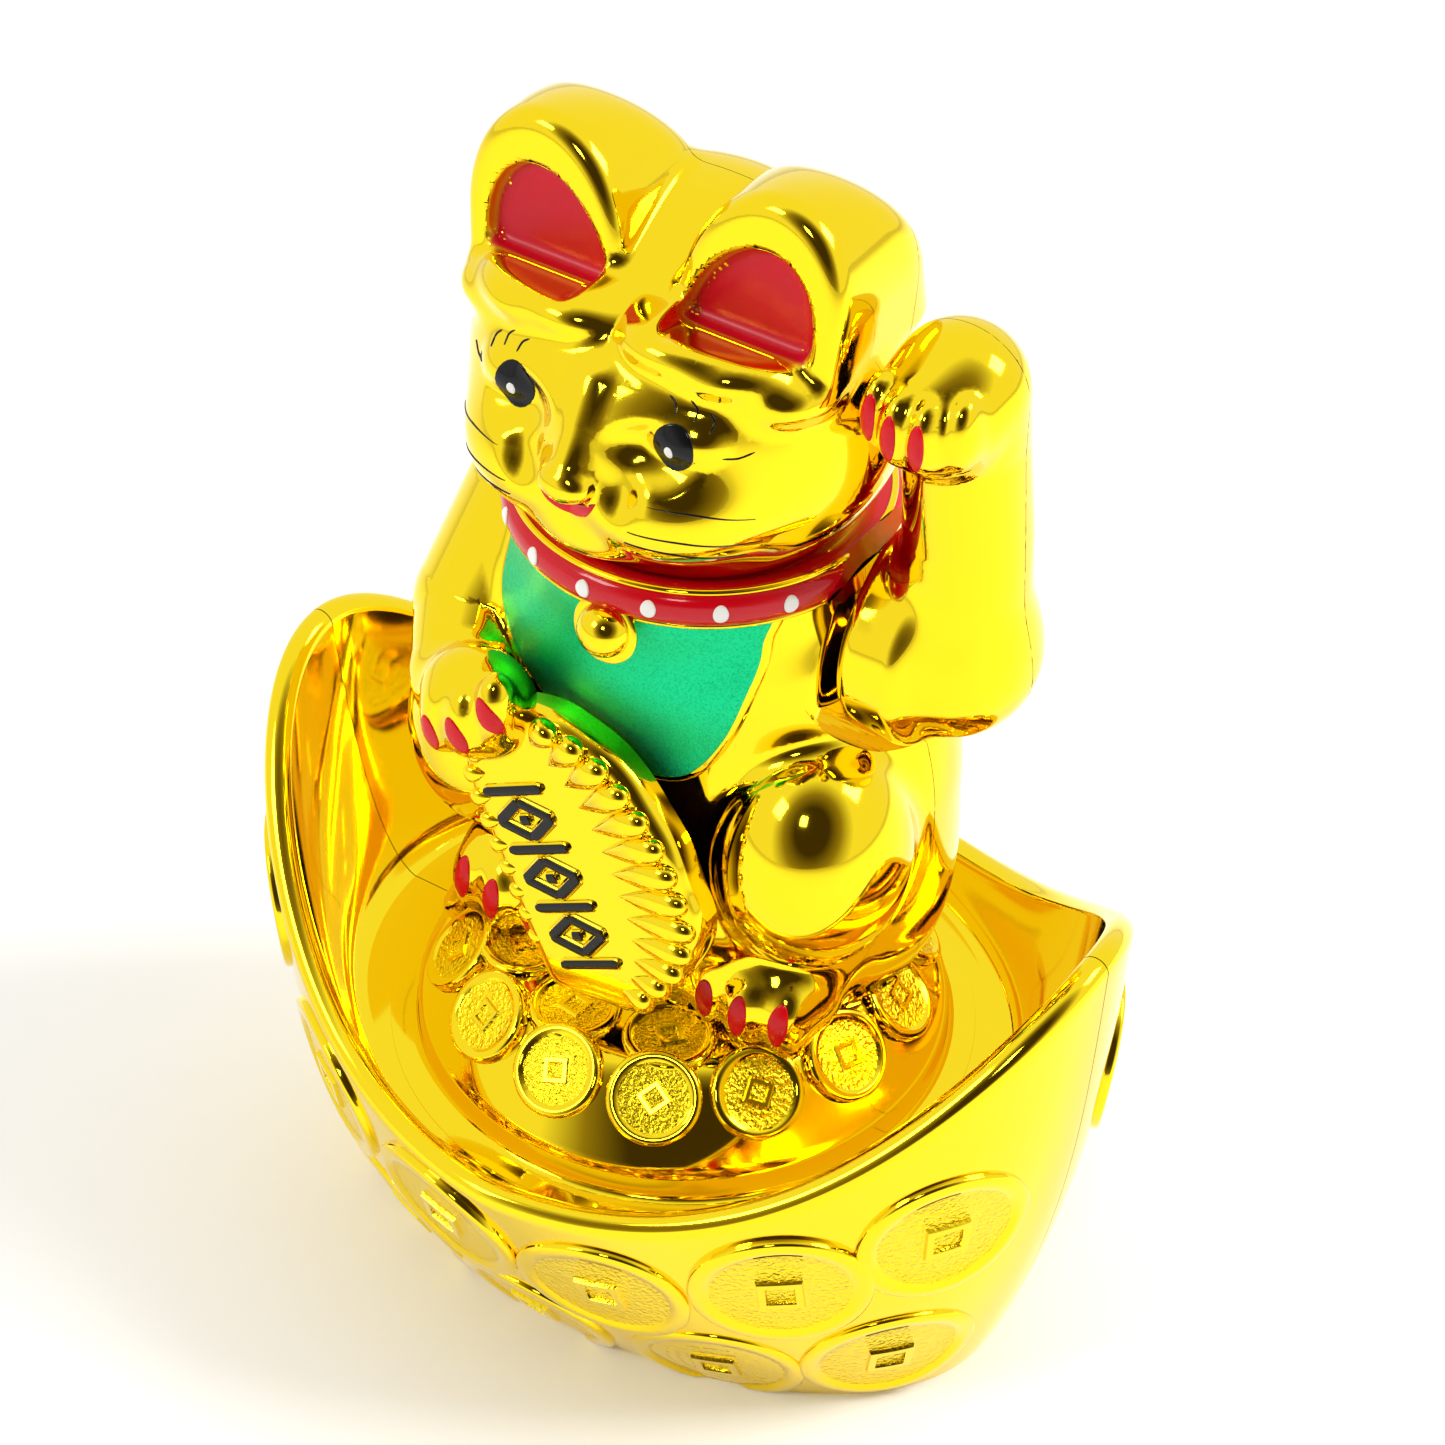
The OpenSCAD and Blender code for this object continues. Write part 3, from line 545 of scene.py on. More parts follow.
def grid_skin(name, distance, low, high, cell):
    """Skins the zero surface of a distance: one point in every grid cell that it crosses."""
    axes = [np.arange(a, b + cell, cell) for a, b in zip(low, high)]
    grid = np.stack(np.meshgrid(*axes, indexing="ij"), -1)
    value = np.stack([distance(sheet.reshape(-1, 3)).reshape(sheet.shape[:2]) for sheet in grid])
    cells = tuple(n - 1 for n in value.shape)
    total = np.zeros((*cells, 3))
    count = np.zeros(cells)
    crossings = []
    for axis in range(3):
        first = value.take(range(cells[axis]), axis)
        last = value.take(range(1, cells[axis] + 1), axis)
        crossed = (first < 0) != (last < 0)
        place = grid.take(range(cells[axis]), axis)
        place[..., axis] += cell * first / np.where(crossed, first - last, 1.0)
        place *= crossed[..., None]
        crossings.append((crossed, first < 0))
        b, c = (axis + 1) % 3, (axis + 2) % 3
        for i in (0, 1):
            for j in (0, 1):
                pick = [slice(None)] * 3
                pick[b] = slice(i, i + cells[b])
                pick[c] = slice(j, j + cells[c])
                total += place[tuple(pick)]
                count += crossed[tuple(pick)]
    used = count > 0
    number = np.full(cells, -1)
    number[used] = np.arange(used.sum())
    faces = []
    for axis, (crossed, inside) in enumerate(crossings):
        at = np.argwhere(crossed)
        b, c = (axis + 1) % 3, (axis + 2) % 3
        ring = []
        for i, j in ((1, 1), (0, 1), (0, 0), (1, 0)):
            spot_at = at.copy()
            spot_at[:, b] -= i
            spot_at[:, c] -= j
            ring.append(number[tuple(spot_at.T)])
        quads = np.stack(ring, 1)
        outward = inside[tuple(at.T)]
        faces += quads[outward].tolist() + quads[~outward][:, ::-1].tolist()
    obj = mesh_object(name, total[used] / count[used][:, None], faces)
    relax(obj, distance)
    return obj


def polish(obj, distance):
    """Gives the faces that lie on the exact surface its own normals, so that they mirror cleanly."""
    mesh = obj.data
    points = points_of(obj)
    g = slope_of(distance, points)
    g /= np.linalg.norm(g, axis=1, keepdims=True)
    flat = np.empty(len(mesh.polygons) * 3)
    mesh.polygons.foreach_get("normal", flat)
    sizes = np.empty(len(mesh.polygons), int)
    mesh.polygons.foreach_get("loop_total", sizes)
    corners = np.empty(len(mesh.loops), int)
    mesh.loops.foreach_get("vertex_index", corners)
    own = np.repeat(flat.reshape(-1, 3), sizes, axis=0)
    near = (np.abs(distance(points)) < 0.06)[corners] & ((own * g[corners]).sum(1) > 0.6)
    mesh.normals_split_custom_set(np.where(near[:, None], g[corners], own).tolist())


def slice_off(obj, point, normal, fill=False):
    """Cuts the mesh at a plane and drops the part that the normal points to; millimetres."""
    choose(obj)
    bpy.ops.object.mode_set(mode="EDIT")
    bpy.ops.mesh.select_all(action="SELECT")
    bpy.ops.mesh.bisect(plane_co=[c * MM for c in point], plane_no=normal, clear_outer=True, use_fill=fill)
    bpy.ops.object.mode_set(mode="OBJECT")


def twin(obj, name):
    """A copy of an object with its own mesh."""
    copy = obj.copy()
    copy.data = obj.data.copy()
    copy.name = name
    copy.data.name = name
    bpy.context.scene.collection.objects.link(copy)
    return copy


def keep_faces(obj, keep):
    """Deletes the faces whose centre fails the test; the test takes points in millimetres."""
    centres = np.array([f.center for f in obj.data.polygons]) / MM
    good = keep(centres)
    choose(obj)
    bpy.ops.object.mode_set(mode="EDIT")
    bpy.ops.mesh.select_mode(type="FACE")
    bpy.ops.mesh.select_all(action="DESELECT")
    bpy.ops.object.mode_set(mode="OBJECT")
    obj.data.polygons.foreach_set("select", ~good)
    bpy.ops.object.mode_set(mode="EDIT")
    bpy.ops.mesh.delete(type="FACE")
    bpy.ops.object.mode_set(mode="OBJECT")


# ---------------------------------------------------------------- ingot
def flat_normal(t):
    """Level outward normal of the ingot at angle t."""
    n = np.stack([np.cos(t) / CREST_A, np.sin(t) / CREST_B, 0 * t], -1)
    return n / np.linalg.norm(n, axis=-1, keepdims=True)


def crest(t):
    """The rim's middle line."""
    x = CREST_A * np.sign(np.cos(t)) * np.abs(np.cos(t)) ** 1.31
    return np.stack([x, CREST_B * np.sin(t), DIP + (TIP - DIP) * (np.abs(x) / CREST_A) ** 2.86], -1)


def skin(t, s):
    """Outer wall, from the underside at s = 0 to the rim at s = 1."""
    t, s = np.broadcast_arrays(np.asarray(t, float), np.asarray(s, float))
    low = np.stack([BASE_A * np.cos(t), BASE_B * np.sin(t), 0 * t], -1)
    n = flat_normal(t)
    high = crest(t) + RIM * n
    swell = (2.2 + 1.6 * np.abs(np.cos(t)) ** 3) * np.sin(np.pi * np.clip(s, 0, 1) ** 0.85)
    return low + (high - low) * s[..., None] + swell[..., None] * n


def bowl(t, s):
    """Inner wall, from the rim at s = 0 down to the trough at s = 1."""
    high = crest(t) - RIM * flat_normal(t)
    low = np.array([TROUGH_A * np.cos(t), TROUGH_B * np.sin(t), TROUGH])
    knee = low + (high - low) * 0.62 - np.array([0, 0, 0.54 * (high[2] - TROUGH)])
    return (high + (knee - high) * s) * (1 - s) + (knee + (low - knee) * s) * s


def ingot_section(t):
    """Points of the shell's face at angle t, from the underside over the rim to the lip of the trough."""
    n = flat_normal(np.array(t))
    rows = [skin(t, s) for s in np.linspace(0.0, 1.0, 30)]
    rows += [crest(np.array(t)) + RIM * (math.cos(a) * n + np.array([0, 0, math.sin(a)]))
             for a in np.linspace(0, math.pi, 13)[1:-1]]
    rows += [bowl(np.array(t), s) for s in np.linspace(0.0, 1.0, 26)]
    foot = rows[-1]
    lip = np.array([LIP * math.cos(t), LIP * math.sin(t), TROUGH])
    rows += [foot + (lip - foot) * s for s in (0.2, 0.4, 0.6, 0.8, 1.0)]
    return rows


def coin_template(radius, field, frame_out, frame_in, rise, floor, skirt):
    """A struck coin: points (u, v, height), the share of stippled field per point, and its faces."""
    rings = [("square", 0.45 * frame_in, floor, 1.0), ("square", frame_in - 0.1, floor, 1.0),
             ("square", frame_in + 0.12, rise, 0.0), ("square", frame_out - 0.12, rise, 0.0),
             ("square", frame_out + 0.12, floor, 0.3), ("square", frame_out + 0.5, floor, 1.0)]
    rings += [("between", k, floor, 1.0) for k in (0.3, 0.6)]
    rings += [("round", field - 0.3, floor, 1.0), ("round", field, floor + 0.1 * rise, 0.2),
              ("round", field + 0.35, rise, 0.0), ("round", 0.5 * (field + radius), rise + 0.05, 0.0),
              ("round", radius - 0.55, rise, 0.0), ("round", radius - 0.18, rise - 0.15, 0.0),
              ("round", radius, rise - 0.5, 0.0), ("round", radius + 0.02, skirt, 0.0)]
    count = 64
    a = 2 * math.pi * np.arange(count) / count
    square = 1.0 / np.maximum(np.abs(np.cos(a)), np.abs(np.sin(a)))
    points = [[0.0, 0.0, floor]]
    marks = [1.0]
    for kind, size, height, mark in rings:
        if kind == "square":
            r = size * square
        elif kind == "between":
            r = (frame_out + 0.5) * square * (1 - size) + (field - 0.3) * size
        else:
            r = np.full(count, size)
        points += np.stack([r * np.cos(a), r * np.sin(a), np.full(count, height)], 1).tolist()
        marks += [mark] * count
    faces = [(0, 1 + i, 1 + (i + 1) % count) for i in range(count)]
    faces += flipped(grid_faces(len(rings), count, True, 1))
    faces += flipped([range(len(points) - count, len(points))])
    return np.array(points), np.array(marks), faces


def wrap_coin(t0, s0, points, lift):
    """Lays coin points onto the outer wall around the angle t0 (degrees) and height s0."""
    t0 = math.radians(t0)
    p0 = skin(t0, s0)
    along = skin(t0 + 0.01, s0) - skin(t0 - 0.01, s0)
    up = skin(t0, s0 + 0.01) - skin(t0, s0 - 0.01)
    out = np.cross(along, up)
    out /= np.linalg.norm(out)
    up_unit = up / np.linalg.norm(up)
    side = np.cross(up_unit, out)
    u, v = points[:, 0], points[:, 1]
    t = t0 + u * 0.02 / (along @ side)
    s = s0 + v * 0.02 / np.linalg.norm(up)
    for _ in range(8):
        here = skin(t, s) - p0
        ft, fs = here @ side - u, here @ up_unit - v
        dt = (skin(t + 1e-4, s) - skin(t - 1e-4, s)) / 2e-4
        ds = (skin(t, s + 1e-4) - skin(t, s - 1e-4)) / 2e-4
        a, b, c, d = dt @ side, ds @ side, dt @ up_unit, ds @ up_unit
        det = a * d - b * c
        t = t - (d * ft - b * fs) / det
        s = s - (a * fs - c * ft) / det
        s = np.clip(s, -0.2, 1.2)
    dt = skin(t + 1e-3, s) - skin(t - 1e-3, s)
    ds = skin(t, s + 1e-3) - skin(t, s - 1e-3)
    n = np.cross(dt, ds)
    n /= np.linalg.norm(n, axis=1, keepdims=True)
    return skin(t, s) + (points[:, 2] + lift)[:, None] * n


# angle in degrees, share of the wall's height, and lift of each coin on the front wall
OUTER_COINS = [(204, 0.69, 0.25), (231, 0.67, 0.0), (258, 0.69, 0.25), (288, 0.63, 0.0), (312, 0.67, 0.25),
               (334, 0.63, 0.0), (216, 0.2, -0.2), (242, 0.19, -0.35), (269, 0.17, -0.2), (300, 0.19, -0.35),
               (328, 0.21, -0.2)]


def build_ingot(settings):
    """Both plated shells of the ingot with their wrapped coins."""
    plating = gold_plating(settings, "gold plating")
    struck = coin_plating(settings)
    points, marks, faces = coin_template(13.3, 10.4, 3.3, 2.0, 0.85, 0.35, -1.2)
    for front in (True, False):
        start = 180.0 if front else 0.0
        trim = math.degrees(2.2 * SEAM_GAP / CREST_A)
        angles = np.radians(np.linspace(start + trim, start + 180.0 - trim, 241))
        sections = [ingot_section(t) for t in angles]
        name = "ingot_front" if front else "ingot_rear"
        node = name + "_shell"
        wall_faces = flipped(grid_faces(len(sections), len(sections[0])))
        shell = mesh_object(name, np.array(sections).reshape(-1, 3), wall_faces)
        thicken(shell, settings.ingot_wall / MM)
        close_up(shell)
        smooth(shell, 50)
        dress(shell, plating, replaces=[node])
        coins = []
        for t, s, lift in OUTER_COINS:
            angle = t if front else t - 180.0
            placed = wrap_coin(angle, s, points, lift)
            coin = mesh_object("coin", placed, faces)
            store(coin, "field", marks)
            if placed[:, 2].min() < 0.3:
                slice_off(coin, (0, 0, 0.3), (0, 0, -1), fill=True)
            coins.append(coin)
        relief = join(name + "_coins", coins)
        close_up(relief)
        smooth(relief, 50)
        dress(relief, struck, replaces=[node])


# ---------------------------------------------------------------- coin bed
BED_FLAT = 0.68 * BED_EDGE
BED_FALL = 12.5


def bed_height(r):
    """Height of the bed's surface at radius r: flat in the middle, falling in a quarter wave to its edge."""
    share = np.clip((r - BED_FLAT) / (BED_EDGE - BED_FLAT), 0, 1)
    return SEAT - BED_FALL * (1 - np.cos(np.radians(90 * share)))


def turned(profile, count):
    """Rows of points from a profile of (radius, height) turned about the upright axis."""
    angles = np.linspace(0, 2 * math.pi, count, endpoint=False)
    return [[(r * math.cos(a), r * math.sin(a), z) for a in angles] for r, z in profile]


def build_bed(settings):
    """The domed bed and the struck coins lying on it."""
    radii = [*np.linspace(3.0, BED_FLAT, 10), *np.linspace(BED_FLAT, BED_EDGE - 0.3, 20)[1:]]
    profile = [(r, bed_height(r)) for r in radii]
    profile += [(BED_EDGE, TROUGH + 4.0), (BED_EDGE, TROUGH + 1.0), (BED_EDGE + 0.5, TROUGH + 0.35)]
    profile += [(BED_EDGE + 1.2, TROUGH + 0.15), (44.2, TROUGH + 0.1), (44.4, TROUGH - 0.4)]
    count = 144
    rows = turned(profile, count)
    dome = mesh_object("bed_dome", np.array(rows).reshape(-1, 3), flipped(grid_faces(len(rows), count, True)))
    thicken(dome, 1.4)
    close_up(dome)
    smooth(dome, 40)
    dress(dome, gold_plating(settings, "bed plating"), replaces=["coin_bed"])
    points, marks, faces = coin_template(6.9, 5.2, 1.85, 1.1, 0.75, 0.38, -1.2)
    # two rings of coins: radius, number in the ring, ring's total, first angle, lift
    places = [(33.2, k, 14, 180 / 14, 0.35 + 0.25 * (k % 2)) for k in range(14)]
    places += [(24.2, k, 10, -98, 0.2 + 0.15 * (k % 2)) for k in range(10)]
    coins = []
    for radius, k, total, start, lift in places:
        angle = math.radians(start + 360 * k / total)
        fall = math.atan2(float(bed_height(radius + 0.5) - bed_height(radius - 0.5)), 1.0)
        turn = Matrix.Rotation(angle, 3, "Z") @ Matrix.Rotation(-fall, 3, "Y")
        turn = np.array(turn) @ np.array(Matrix.Rotation(0.35 * k, 3, "Z"))
        centre = np.array([radius * math.cos(angle), radius * math.sin(angle), float(bed_height(radius))])
        placed = (points + np.array([0, 0, lift])) @ turn.T + centre
        coin = mesh_object("coin", placed, faces)
        store(coin, "field", marks)
        coins.append(coin)
    heap = join("bed_coins", coins)
    close_up(heap)
    smooth(heap, 50)
    dress(heap, coin_plating(settings), replaces=["coin_bed"])


# ---------------------------------------------------------------- cat and arm
CAT_BOX = ((-44.0, -38.0, 38.0), (44.0, 40.0, 201.0))
ARM_BOX = ((24.0, -20.0, 104.0), (54.0, 26.0, 186.0))


def cut_recess(obj):
    """Cuts the round recess of the waving arm out of a piece."""
    deselect()
    length = 40.0
    centre = (RECESS_FLOOR + 0.5 * length, AXLE[1], AXLE[2])
    bpy.ops.mesh.primitive_cylinder_add(vertices=128, radius=RECESS_R * MM, depth=length * MM,
                                        end_fill_type="NGON", location=[c * MM for c in centre],
                                        rotation=(0, math.pi / 2, 0))
    cutter = named("recess")
    modify(obj, "BOOLEAN", operation="DIFFERENCE", object=cutter, solver="EXACT")
    bpy.data.objects.remove(cutter)


def bed_form():
    """A solid under the bed's surface that cuts the cat's seat."""
    rings, count, low = 60, 96, 20.0
    radii = np.linspace(0, BED_EDGE + 12, rings)[1:]
    rows = turned([(r, float(bed_height(r)) + 0.1) for r in radii] + [(radii[-1], low)], count)
    points = [(0, 0, SEAT + 0.1), *np.array(rows).reshape(-1, 3).tolist(), (0, 0, low)]
    faces = [(0, 1 + i, 1 + (i + 1) % count) for i in range(count)]
    faces += flipped(grid_faces(rings, count, True, 1))
    last = 1 + (rings - 1) * count
    faces += [(len(points) - 1, last + (i + 1) % count, last + i) for i in range(count)]
    form = mesh_object("bed form", points, faces)
    close_up(form)
    return form


def outside_walls(c):
    """Which face centres belong to the cat's outside or to the walls of the arm's recess."""
    return (cat_distance(c) > -0.35) | (c[:, 0] > RECESS_FLOOR - 0.2) & (c[:, 2] > SEAT + 40)


def part_shells(skin_object, name, normal, distance, plating, settings, body="root"):
    """Parts a skin at its seam through the axle and gives both halves their wall, shading and plating."""
    rear = twin(skin_object, name + "_rear")
    skin_object.name = name + "_front"
    slice_off(skin_object, AXLE - SEAM_GAP * normal, normal)
    slice_off(rear, AXLE + SEAM_GAP * normal, -normal)
    for obj in (skin_object, rear):
        thicken(obj, settings.cat_wall / MM)
        smooth(obj, 40)
        polish(obj, distance)
        dress(obj, plating, body, [obj.name + "_shell"])


def build_cat(settings):
    """The cat's front and rear shells, cut from one fused skin."""
    cell = settings.cell / MM
    cat = grid_skin("cat", cat_distance, *CAT_BOX, cell)
    build_ear_linings(cat, settings)
    cut_recess(cat)
    bed = bed_form()
    modify(cat, "BOOLEAN", operation="DIFFERENCE", object=bed, solver="EXACT")
    bpy.data.objects.remove(bed)
    keep_faces(cat, outside_walls)
    plating = gold_plating(settings, "cat plating")
    part_shells(cat, "cat", np.array([0.0, 1.0, 0.0]), cat_distance, plating, settings)


def build_ear_linings(cat, settings):
    """Sprayed linings, lifted off the cat's own skin inside the ears."""
    lining = ear_lacquer(settings)
    for side, sign in (("left", 1), ("right", -1)):
        panel = twin(cat, "ear_lining_" + side)

        def inside(c):
            m = folded(c)
            return (ear_pocket(m) < 0.5) & (m[:, 1] > -15.0) & (c[:, 0] * sign > 0)

        keep_faces(panel, inside)
        modify(panel, "SUBSURF", levels=1, subdivision_type="SIMPLE")
        p = settle(cat_distance, points_of(panel), 3)
        n = slope_of(cat_distance, p)
        n /= np.linalg.norm(n, axis=1, keepdims=True)
        m = folded(p)
        border = np.minimum(-pocket_outline(m), m[:, 1] + 14.2)
        cover = np.clip(0.1 + border / 0.7, 0, 1)
        set_points(panel, p + 0.06 * n)
        store(panel, "cover", cover)
        thicken(panel, 0.05)
        lacquer(panel, lining)


ARM_TILT = 6.0


def build_arm(settings):
    """The waving arm's two shells, parted along a plane that leans with the forearm."""
    cell = settings.arm_cell / MM
    arm = grid_skin("arm", arm_distance, *ARM_BOX, cell)
    lean = math.radians(ARM_TILT)
    normal = np.array([0.0, math.cos(lean), math.sin(lean)])
    plating = gold_plating(settings, "arm plating")
    part_shells(arm, "arm", normal, arm_distance, plating, settings, "arm")


# ---------------------------------------------------------------- thin pieces that lie on a surface
def drop(distance, starts, direction):
    """Slides points along a direction until they meet the surface."""
    p = np.array(starts, float)
    d = np.array(direction, float) / np.linalg.norm(direction)
    for _ in range(70):
        p = p + np.clip(distance(p), -4.0, 4.0)[:, None] * 0.8 * d
    return p


def film(name, starts, heights, faces, distance, direction=(0, 1, 0), sink=0.12):
    """A closed thin piece over a surface: each point stands its own height above it."""
    low = drop(distance, starts, direction)
    n = slope_of(distance, low)
    n /= np.linalg.norm(n, axis=1, keepdims=True)
    top = low + n * np.asarray(heights, float)[:, None]
    bottom = low - n * sink
    count = len(top)
    edges = {pair: None for face in faces for pair in zip(face, face[1:] + face[:1])}
    walls = [(b, a, a + count, b + count) for a, b in edges if (b, a) not in edges]
    under = [tuple(i + count for i in face) for face in flipped(faces)]
    obj = mesh_object(name, np.concatenate([top, bottom]), faces + under + walls)
    close_up(obj)
    return obj


def round_off(corners, count, closed=True):
    """A smooth curve through a few points, resampled evenly."""
    c = np.array(corners, float)
    n = len(c)
    pieces = []
    for i in range(n if closed else n - 1):
        a, b, d, e = ((c[(i - 1) % n], c[i], c[(i + 1) % n], c[(i + 2) % n]) if closed else
                      (c[max(i - 1, 0)], c[i], c[i + 1], c[min(i + 2, n - 1)]))
        t = np.linspace(0, 1, 12, endpoint=False)[:, None]
        pieces.append(0.5 * (2 * b + (d - a) * t + (2 * a - 5 * b + 4 * d - e) * t ** 2
                             + (3 * b - a - 3 * d + e) * t ** 3))
    line = np.concatenate(pieces + [c[:1] if closed else c[-1:]])
    run = np.concatenate([[0], np.cumsum(np.linalg.norm(np.diff(line, axis=0), axis=1))])
    at = np.linspace(0, run[-1], count, endpoint=not closed)
    return np.stack([np.interp(at, run, line[:, k]) for k in range(line.shape[1])], 1)


def inset(outline, distance):
    """A closed outline moved inwards."""
    ahead = np.roll(outline, -1, 0) - np.roll(outline, 1, 0)
    n = np.stack([-ahead[:, 1], ahead[:, 0]], 1)
    following = np.roll(outline, -1, 0)
    area = np.sum(outline[:, 0] * following[:, 1] - following[:, 0] * outline[:, 1])
    return outline + distance * math.copysign(1.0, area) * n / np.linalg.norm(n, axis=1, keepdims=True)


def patch_grid(outline, steps, shrink=7):
    """Rings of (x, z) points from the border inwards: by the steps (inset, height), then to the middle."""
    rings = [(inset(outline, d), h) for d, h in steps]
    last, height = rings[-1]
    middle = last.mean(0)
    for k in range(1, shrink):
        rings.append((middle + (last - middle) * (1 - k / shrink), height))
    count = len(outline)
    flat = np.concatenate([r for r, _ in rings] + [middle[None]])
    heights = np.concatenate([np.full(count, h) for _, h in rings] + [[height]])
    faces = grid_faces(len(rings), count, True)
    first = (len(rings) - 1) * count
    faces += [(first + i, first + (i + 1) % count, len(flat) - 1) for i in range(count)]
    return flat, heights, faces


def on_front(flat, y=IN_FRONT):
    """(x, height above the seat) pairs as starting points in front of the cat."""
    return np.stack([flat[:, 0], np.full(len(flat), y), flat[:, 1] + SEAT], 1)


def patch(name, corners, distance, steps, count, base=0.05, y=IN_FRONT):
    """A painted or raised patch with a smooth outline given in the x-z plane."""
    flat, heights, faces = patch_grid(round_off(corners, count), steps)
    return film(name, on_front(flat, y), heights + base, faces, distance)


def oval(x, z, half_x, half_z, turn=0.0, point=0.0, count=24):
    """Outline of an oval, turned by degrees, its lower end drawn to a point by the given share."""
    a = 2 * math.pi * np.arange(count) / count
    u = half_x * np.cos(a) * (1 - point * np.clip(-np.sin(a), 0, 1) ** 2)
    v = half_z * np.sin(a)
    t = math.radians(turn)
    return np.stack([x + u * math.cos(t) - v * math.sin(t), z + u * math.sin(t) + v * math.cos(t)], 1)


def spot(name, outline, distance, thick, base=0.05):
    """A small painted spot with a soft edge."""
    flat, heights, faces = patch_grid(outline, ((0.0, 0.0), (0.12, thick), (0.3, thick)), 4)
    return film(name, on_front(flat), heights + base, faces, distance)


def stroke(name, corners, width, distance, thick=0.07, base=0.05, taper=0.15, ends=0.12):
    """A brush stroke along a curve in the x-z plane, thinner at both ends."""
    count = 26
    line = round_off(corners, count, closed=False)
    ahead = np.gradient(line, axis=0)
    n = np.stack([-ahead[:, 1], ahead[:, 0]], 1)
    n /= np.linalg.norm(n, axis=1, keepdims=True)
    t = np.linspace(0, 1, count)
    full = np.clip(np.minimum(t, 1 - t) / taper, 0, 1) ** 0.7
    half = 0.5 * width * (ends + (1 - ends) * full)
    across = ((-1.0, 0.0), (-0.6, 0.8), (0.0, 1.0), (0.6, 0.8), (1.0, 0.0))
    flat = np.concatenate([line + n * (half * k)[:, None] for k, _ in across])
    heights = np.concatenate([np.full(count, thick * h) for _, h in across]) + base
    faces = flipped(grid_faces(len(across), count))
    return film(name, on_front(flat), heights, faces, distance)


def ring_band(name, centre, section):
    """A ring around a vertical axis with the given section, a closed list of (radius, height)."""
    count = 160
    rows = [[(centre[0] + r * math.sin(a), centre[1] - r * math.cos(a), centre[2] + z) for r, z in section]
            for a in np.linspace(0, 2 * math.pi, count, endpoint=False)]
    n = len(section)
    faces = []
    for j in range(count):
        for i in range(n):
            a, b = j * n + i, j * n + (i + 1) % n
            c, d = ((j + 1) % count) * n + (i + 1) % n, ((j + 1) % count) * n + i
            faces.append((a, b, c, d))
    obj = mesh_object(name, np.array(rows).reshape(-1, 3), faces)
    close_up(obj)
    smooth(obj, 60)
    return obj


def circle(radius_at, height_at, half_r, half_z, count, power=1.0):
    """A closed round or squarish section."""
    a = 2 * math.pi * np.arange(count) / count
    return [(radius_at + half_r * math.copysign(abs(c) ** power, c),
             height_at + half_z * math.copysign(abs(s) ** power, s)) for c, s in zip(np.cos(a), np.sin(a))]


# lines and outlines in front view, as (x, height above the seat)
LASHES = [((10.6, 114.2), (11.6, 113.4), (12.0, 112.2)), ((13.3, 114.1), (14.3, 113.1), (14.4, 111.9)),
          ((15.7, 112.9), (16.6, 111.9), (16.6, 110.7)), ((18.4, 107.4), (19.8, 107.3), (21.3, 108.0))]
WHISKERS = [((11.5, 101.0), (17.0, 100.5), (22.4, 98.7)), ((9.4, 97.0), (16.0, 96.6), (22.6, 94.4)),
            ((8.8, 94.9), (15.0, 94.3), (20.8, 91.8))]
BIB = [(-20.0, 78.5), (-22.6, 70.0), (-22.8, 62.0), (-20.0, 55.4), (-13.6, 50.4), (-4.0, 46.9), (5.0, 45.2),
       (12.0, 47.4), (17.2, 56.0), (20.0, 65.3), (20.6, 72.0), (19.4, 78.5), (0.0, 79.0)]
LIPS = [(-4.4, 99.0), (-2.4, 97.3), (0.0, 97.0), (2.4, 97.3), (4.4, 99.0), (2.8, 96.2), (0.0, 95.2), (-2.8, 96.2)]


def mirrored(line, sign):
    """A line of the left side, carried over to the right side by a sign of -1."""
    return [(x * sign, z) for x, z in line]


def build_face(settings):
    """Painted eyes, lashes, whiskers and lips."""
    black = enamel("black enamel", (0.004, 0.004, 0.005), 0.12)
    white = enamel("white enamel", (0.82, 0.82, 0.80), 0.3)
    red = enamel("red enamel", settings.red, 0.2)
    for side, sign in (("left", 1), ("right", -1)):
        x = 12.0 * sign + 0.6
        iris = spot("iris_" + side, oval(x, 108.1, 2.95, 3.35), cat_distance, 0.12)
        lacquer(iris, black)
        glint = spot("glint_" + side, oval(x - 0.3, 107.7, 0.62, 0.85, count=16), cat_distance, 0.06, 0.18)
        lacquer(glint, white)
        parts = [stroke("line", mirrored(line, sign), 0.26, cat_distance) for line in LASHES]
        parts += [stroke("line", mirrored(line, sign), 0.27, cat_distance, taper=0.5) for line in WHISKERS]
        drawn = join("face_lines_" + side, parts)
        lacquer(drawn, black)
    mouth = patch("lips", LIPS, cat_distance, ((0.0, 0.0), (0.1, 0.06), (0.2, 0.08)), 64)
    lacquer(mouth, red)


# middles of the claws as (x, height above the seat), those of the hand with a turn in degrees
CLAWS_FOOT = [(15.2, 7.8), (21.4, 8.3), (27.4, 8.6)]
CLAWS_HAND = [(-21.8, 49.2, 12), (-16.6, 51.8, 24), (-12.0, 56.6, 32)]
CLAWS_WAVE = [(32.6, 113.0), (36.4, 112.2), (40.4, 112.4)]


